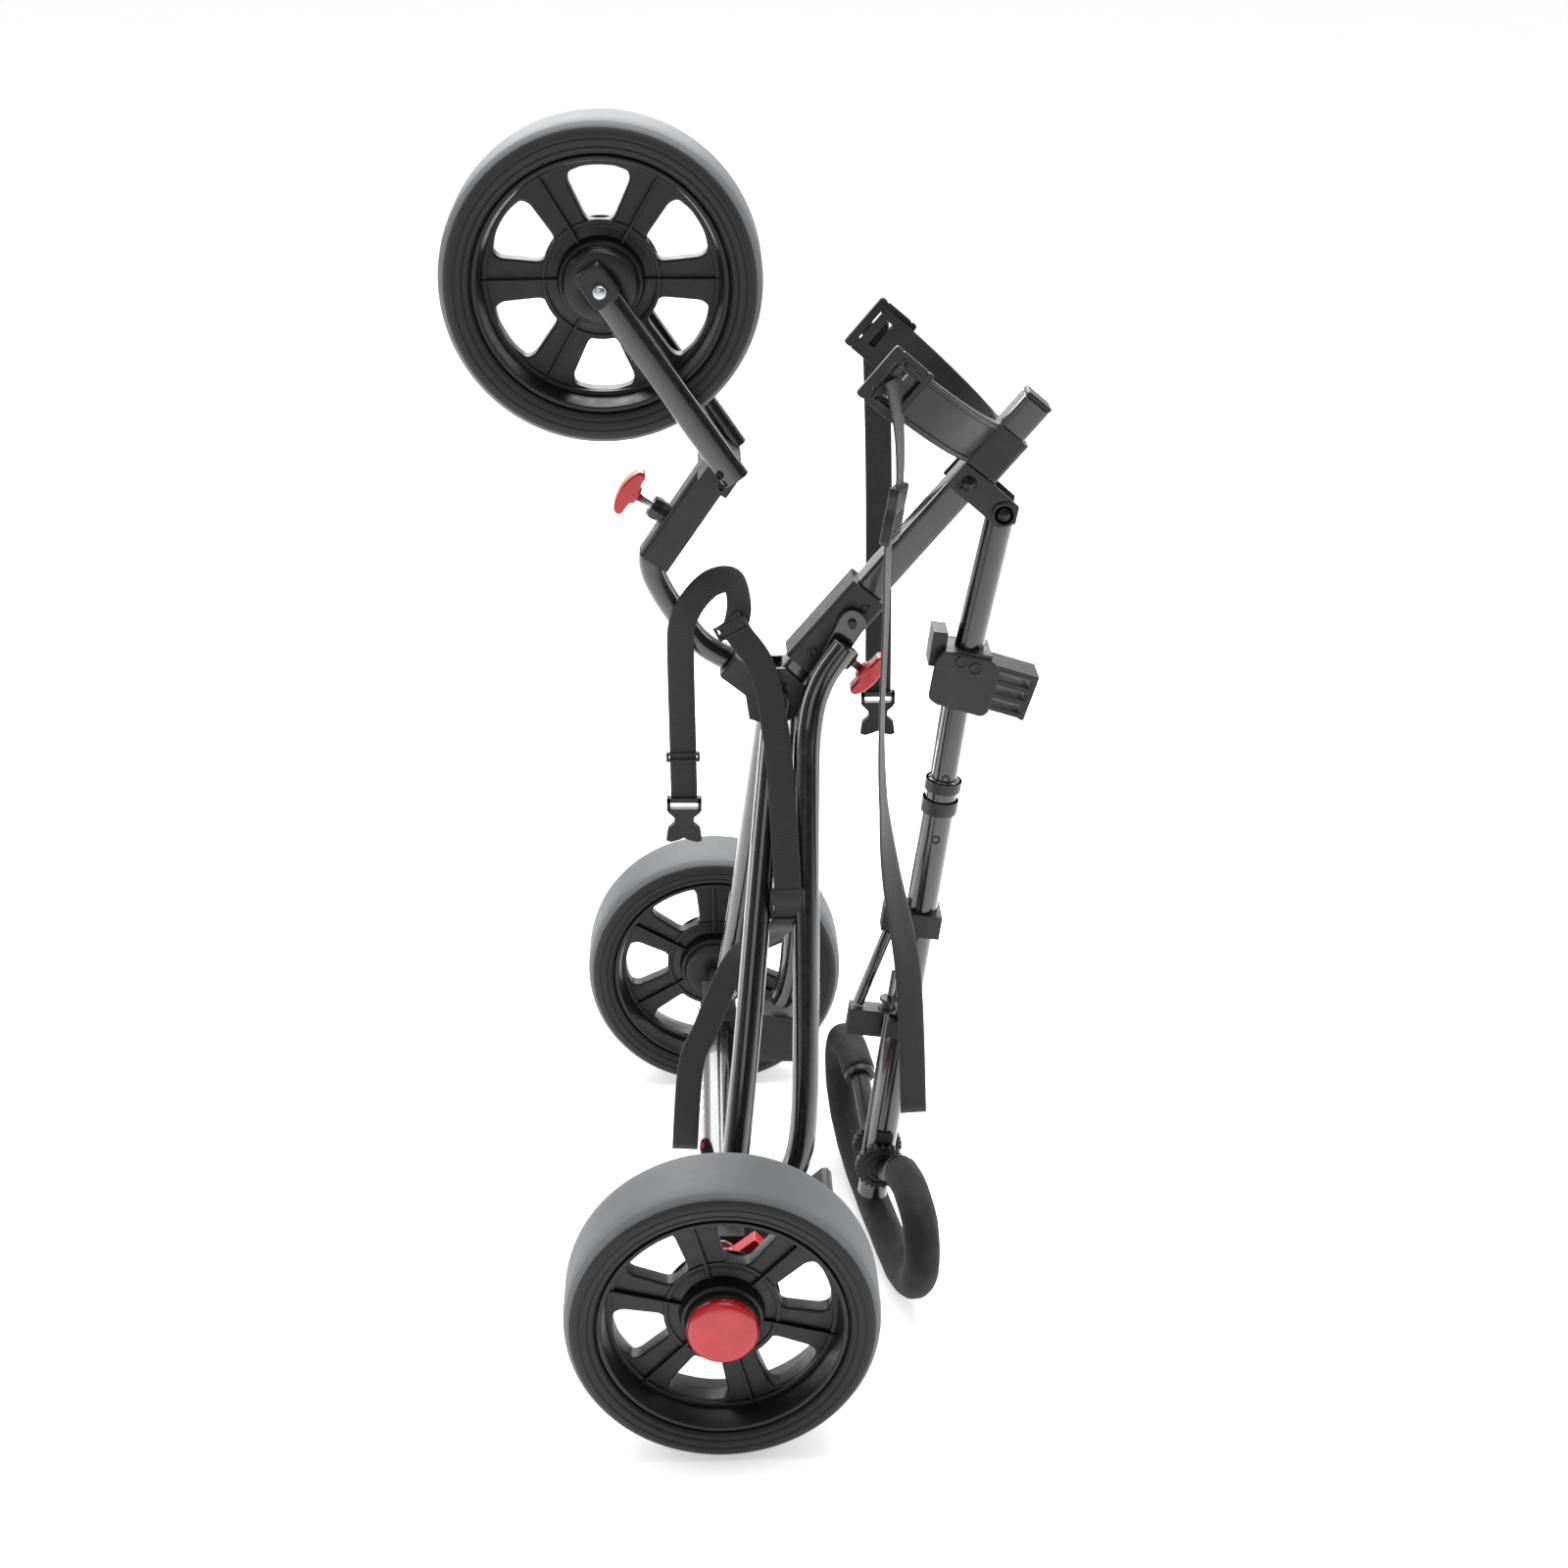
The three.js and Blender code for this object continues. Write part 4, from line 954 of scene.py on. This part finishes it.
# screws, rivets and end caps
screw("collar_screw_a", spine(58, 4, -19.9), (0, -1, 0), 4.4, "collar")
screw("collar_screw_b", spine(121, -6, -19.9), (0, -1, 0), 4.4, "collar")
screw("bracket_screw", spine(263, 4, -18.4), (0, -1, 0), 3.6, "frame")
screw("knee_screw", spine(15, 3, -18.4), (0, -1, 0), 3.6, "frame")
for side in (-1, 1):
    label = "near" if side < 0 else "far"
    screw(f"{label}_knuckle_screw", at(84, -14, side * 187), (0, side, 0), 4.6, "rear_frame")
    screw(f"{label}_fitting_bolt_a", at(-4, 17, side * 188), (0, 0, 1), 4.2, "rear_frame")
    screw(f"{label}_fitting_bolt_b", at(-4, 17, side * 212), (0, 0, 1), 4.2, "rear_frame")
    screw(f"{label}_crown_screw_a", steer(0, 4, side * 57), (0, side, 0), 3.8, "fork")
    screw(f"{label}_crown_screw_b", steer(-8, -4, side * 57), (0, side, 0), 3.8, "fork")
    cap = along((-103, 861), math.atan2(forkTop[1] - 861, forkTop[0] + 103))
    plate(f"{label}_fork_cap", [(-1.2, -11.5), (5, -13.6), (30, -13.8), (34, -10), (34, 10), (30, 13.8),
                                (5, 13.6), (-1.2, 11.5)], 14.6, side * 50, "plastic", "fork", round=4,
          bevel=0.0022, toWorld=cap)
    lathe(f"{label}_wheel_washer", [(6.4, 0), (14, 0), (14, 1.6), (12, 2.2), (6.4, 2.2), (6.4, 0)],
          at(0, 0, side * 246.2), (0, side, 0), "steel", "rear_frame", segments=48)
ringed("fold_ring", foldAt + Vector((0, -0.0184, 0)), (0, -1, 0), 11.5, 8.6, 2.4, "frame")
ringed("knee_ring", kneeAt + Vector((0, -0.0282, 0)), (0, -1, 0), 11.5, 8.6, 1.6, "rear_frame", "plastic")

# cradle: ribs under the arms and a framed slot for each strap
cradle = {"start": 284, "length": 44, "reach": 140, "spread": 86}


def cradleCurve(sign, t):
    root, belly, end = Vector((8, 15.5)), Vector((70, 45)), Vector((cradle["spread"], cradle["reach"]))
    p = root * (1 - t) ** 2 + belly * 2 * t * (1 - t) + end * t * t
    return sign * p.x, p.y


for sign in (-1, 1):
    label = "near" if sign < 0 else "far"
    ribs = []
    for a in (cradle["start"] + 3, cradle["start"] + cradle["length"] - 3):
        pts = []
        for k in range(15):
            y, left = cradleCurve(sign, 0.12 + 0.86 * k / 14)
            pts.append(spine(a, left - 3.4, y + sign * 8.2))
        ribs.append(tube(f"{label}_rib_{a}", pts, 4.6, "plastic", "frame", per=2, sides=14))
    joined(f"{label}_cradle_ribs", ribs, "plastic", "frame")
    y, _ = cradleCurve(sign, 1)
    middle = cradle["start"] + cradle["length"] / 2
    bars = []
    for k, (a0, a1, l0, l1) in enumerate(((-27, 27, 141, 149), (-27, 27, 106, 113), (-27, -15, 112.4, 141.6),
                                          (15, 27, 112.4, 141.6))):
        thick = 6 if k < 2 else 5.4
        outline = [(middle + a0, l0), (middle + a1, l0), (middle + a1, l1), (middle + a0, l1)]
        bars.append(plate(f"{label}_slot_bar_{k}", outline, thick, y + sign * 3.2, "plastic", "frame",
                          toWorld=spine, bevel=0.0018, round=2.5))
    joined(f"{label}_slot_frame", bars, "plastic", "frame")

# handle clamp: ribs, holes and the latch plate
clampTo = along(clampTop, shaftAngle)
padTo = along(clampTop, shaftAngle - math.radians(10))
clampPlate = [(-24, -30), (-10, -33), (24, -28), (28, -20), (28, 26), (22, 31), (-20, 28), (-27, 20)]
plate("clamp_near_plate", clampPlate, 4, -23.4, "plastic", "handle", toWorld=padTo, round=5, bevel=0.0016)
for x, z in ((229.6, 490.4), (242.5, 483.4)):
    ringed(f"clamp_eye_{x:.0f}", at(x, z, -25.6), (0, -1, 0), 6.2, 4.2, 1.4, "handle")
    lathe(f"clamp_eye_floor_{x:.0f}", [(0, 0.4), (4.4, 0.4)], at(x, z, -25.6), (0, -1, 0), "bolt", "handle",
          segments=32)
for k, a in enumerate((104, 166)):
    ringed(f"tube_eye_{k}", shaft(a, 0, -11.7 if k == 0 else -14.6), (0, -1, 0), 4.4, 2.6, 1.0,
           "handle" if k == 0 else "handle_lower")
slotPlate = [(493, -9), (548, -9), (553, -4), (553, 4), (548, 9), (493, 9)]
plate("lower_slot_plate", slotPlate, 3, -15.8, "plastic", "handle_lower", toWorld=clampTo, round=2,
      bevel=0.0009)
for k, (a, reach) in enumerate(((108, 3), (128, 0))):
    ringed(f"lower_tube_collar_{k}", shaft(a), shaft(a + 1) - shaft(a), 17.4, 15, 14 - reach, "handle_lower")
lathe("rod_spool", rounded([(0, -7), (9, -7), (9, -4), (5.5, -3), (5.5, 3), (9, 4), (9, 7), (0, 7)], 1, 3),
      at(167.5, 131.7, -21), shaft(1) - shaft(0), "plastic", "handle_lower", segments=48)
tube("adjusting_rod", [at(173.1, 167.9, -19), at(145.1, -43.8, -22)], 4.6, "tube", "handle_lower", sides=20)
print("moulded pieces made")


# floor and studio light
def makeFloor():
    mesh = bpy.data.meshes.new("floor")
    far = 30
    mesh.from_pydata([(-far, -far, 0), (far, -far, 0), (far, far, 0), (-far, far, 0)], [], [(0, 1, 2, 3)])
    ob = bpy.data.objects.new("floor", mesh)
    ob.location.z = -0.0004
    bpy.context.scene.collection.objects.link(ob)
    paint = Paint("floor_pale", Specular_IOR_Level=0.1, Emission_Color=(1, 1, 1, 1), Emission_Strength=0.42)
    paint.colour(paint.mix(paint.noise(3, 2), (0.88, 0.88, 0.88), (0.9, 0.9, 0.9)))
    paint.rough(paint.spread(paint.noise(8, 2), 0, 1, 0.8, 0.9))
    mesh.materials.append(paint.material)


def softbox(name, place, aim, size, power):
    data = bpy.data.lights.new(name, "AREA")
    data.shape = "RECTANGLE"
    data.size, data.size_y = size
    data.energy = power
    ob = bpy.data.objects.new(name, data)
    ob.location = place
    ob.rotation_euler = (Vector(aim) - Vector(place)).to_track_quat("-Z", "Y").to_euler()
    bpy.context.scene.collection.objects.link(ob)


makeFloor()
softbox("back", (-0.6, 3.0, 2.6), (0, 0, 0.4), (3.6, 2.4), 150)
softbox("top", (0.2, 0.5, 3.4), (0, 0, 0.4), (3.0, 2.6), 120)
softbox("side", (-2.9, 0.2, 1.4), (0, 0, 0.6), (0.9, 2.4), 34)
softbox("edge", (2.9, 0.4, 1.5), (0, 0, 0.6), (0.8, 2.4), 34)
softbox("front", (-0.9, -3.2, 1.9), (0, 0, 0.5), (1.6, 1.6), 14)


def makeWorld():
    world = bpy.data.worlds.new("studio")
    world.use_nodes = True
    tree = world.node_tree
    place = tree.nodes.new("ShaderNodeTexCoord")
    split = tree.nodes.new("ShaderNodeSeparateXYZ")
    level = tree.nodes.new("ShaderNodeMapRange")
    tree.links.new(place.outputs["Generated"], split.inputs[0])
    tree.links.new(split.outputs["Y"], level.inputs["Value"])
    for socket, value in (("From Min", -0.8), ("From Max", 0.7), ("To Min", 0.09), ("To Max", 1.1)):
        level.inputs[socket].default_value = value
    background = tree.nodes["Background"]
    background.inputs["Color"].default_value = (1, 1, 1, 1)
    tree.links.new(level.outputs[0], background.inputs["Strength"])
    bpy.context.scene.world = world


makeWorld()
bpy.context.scene.view_settings.view_transform = "Standard"
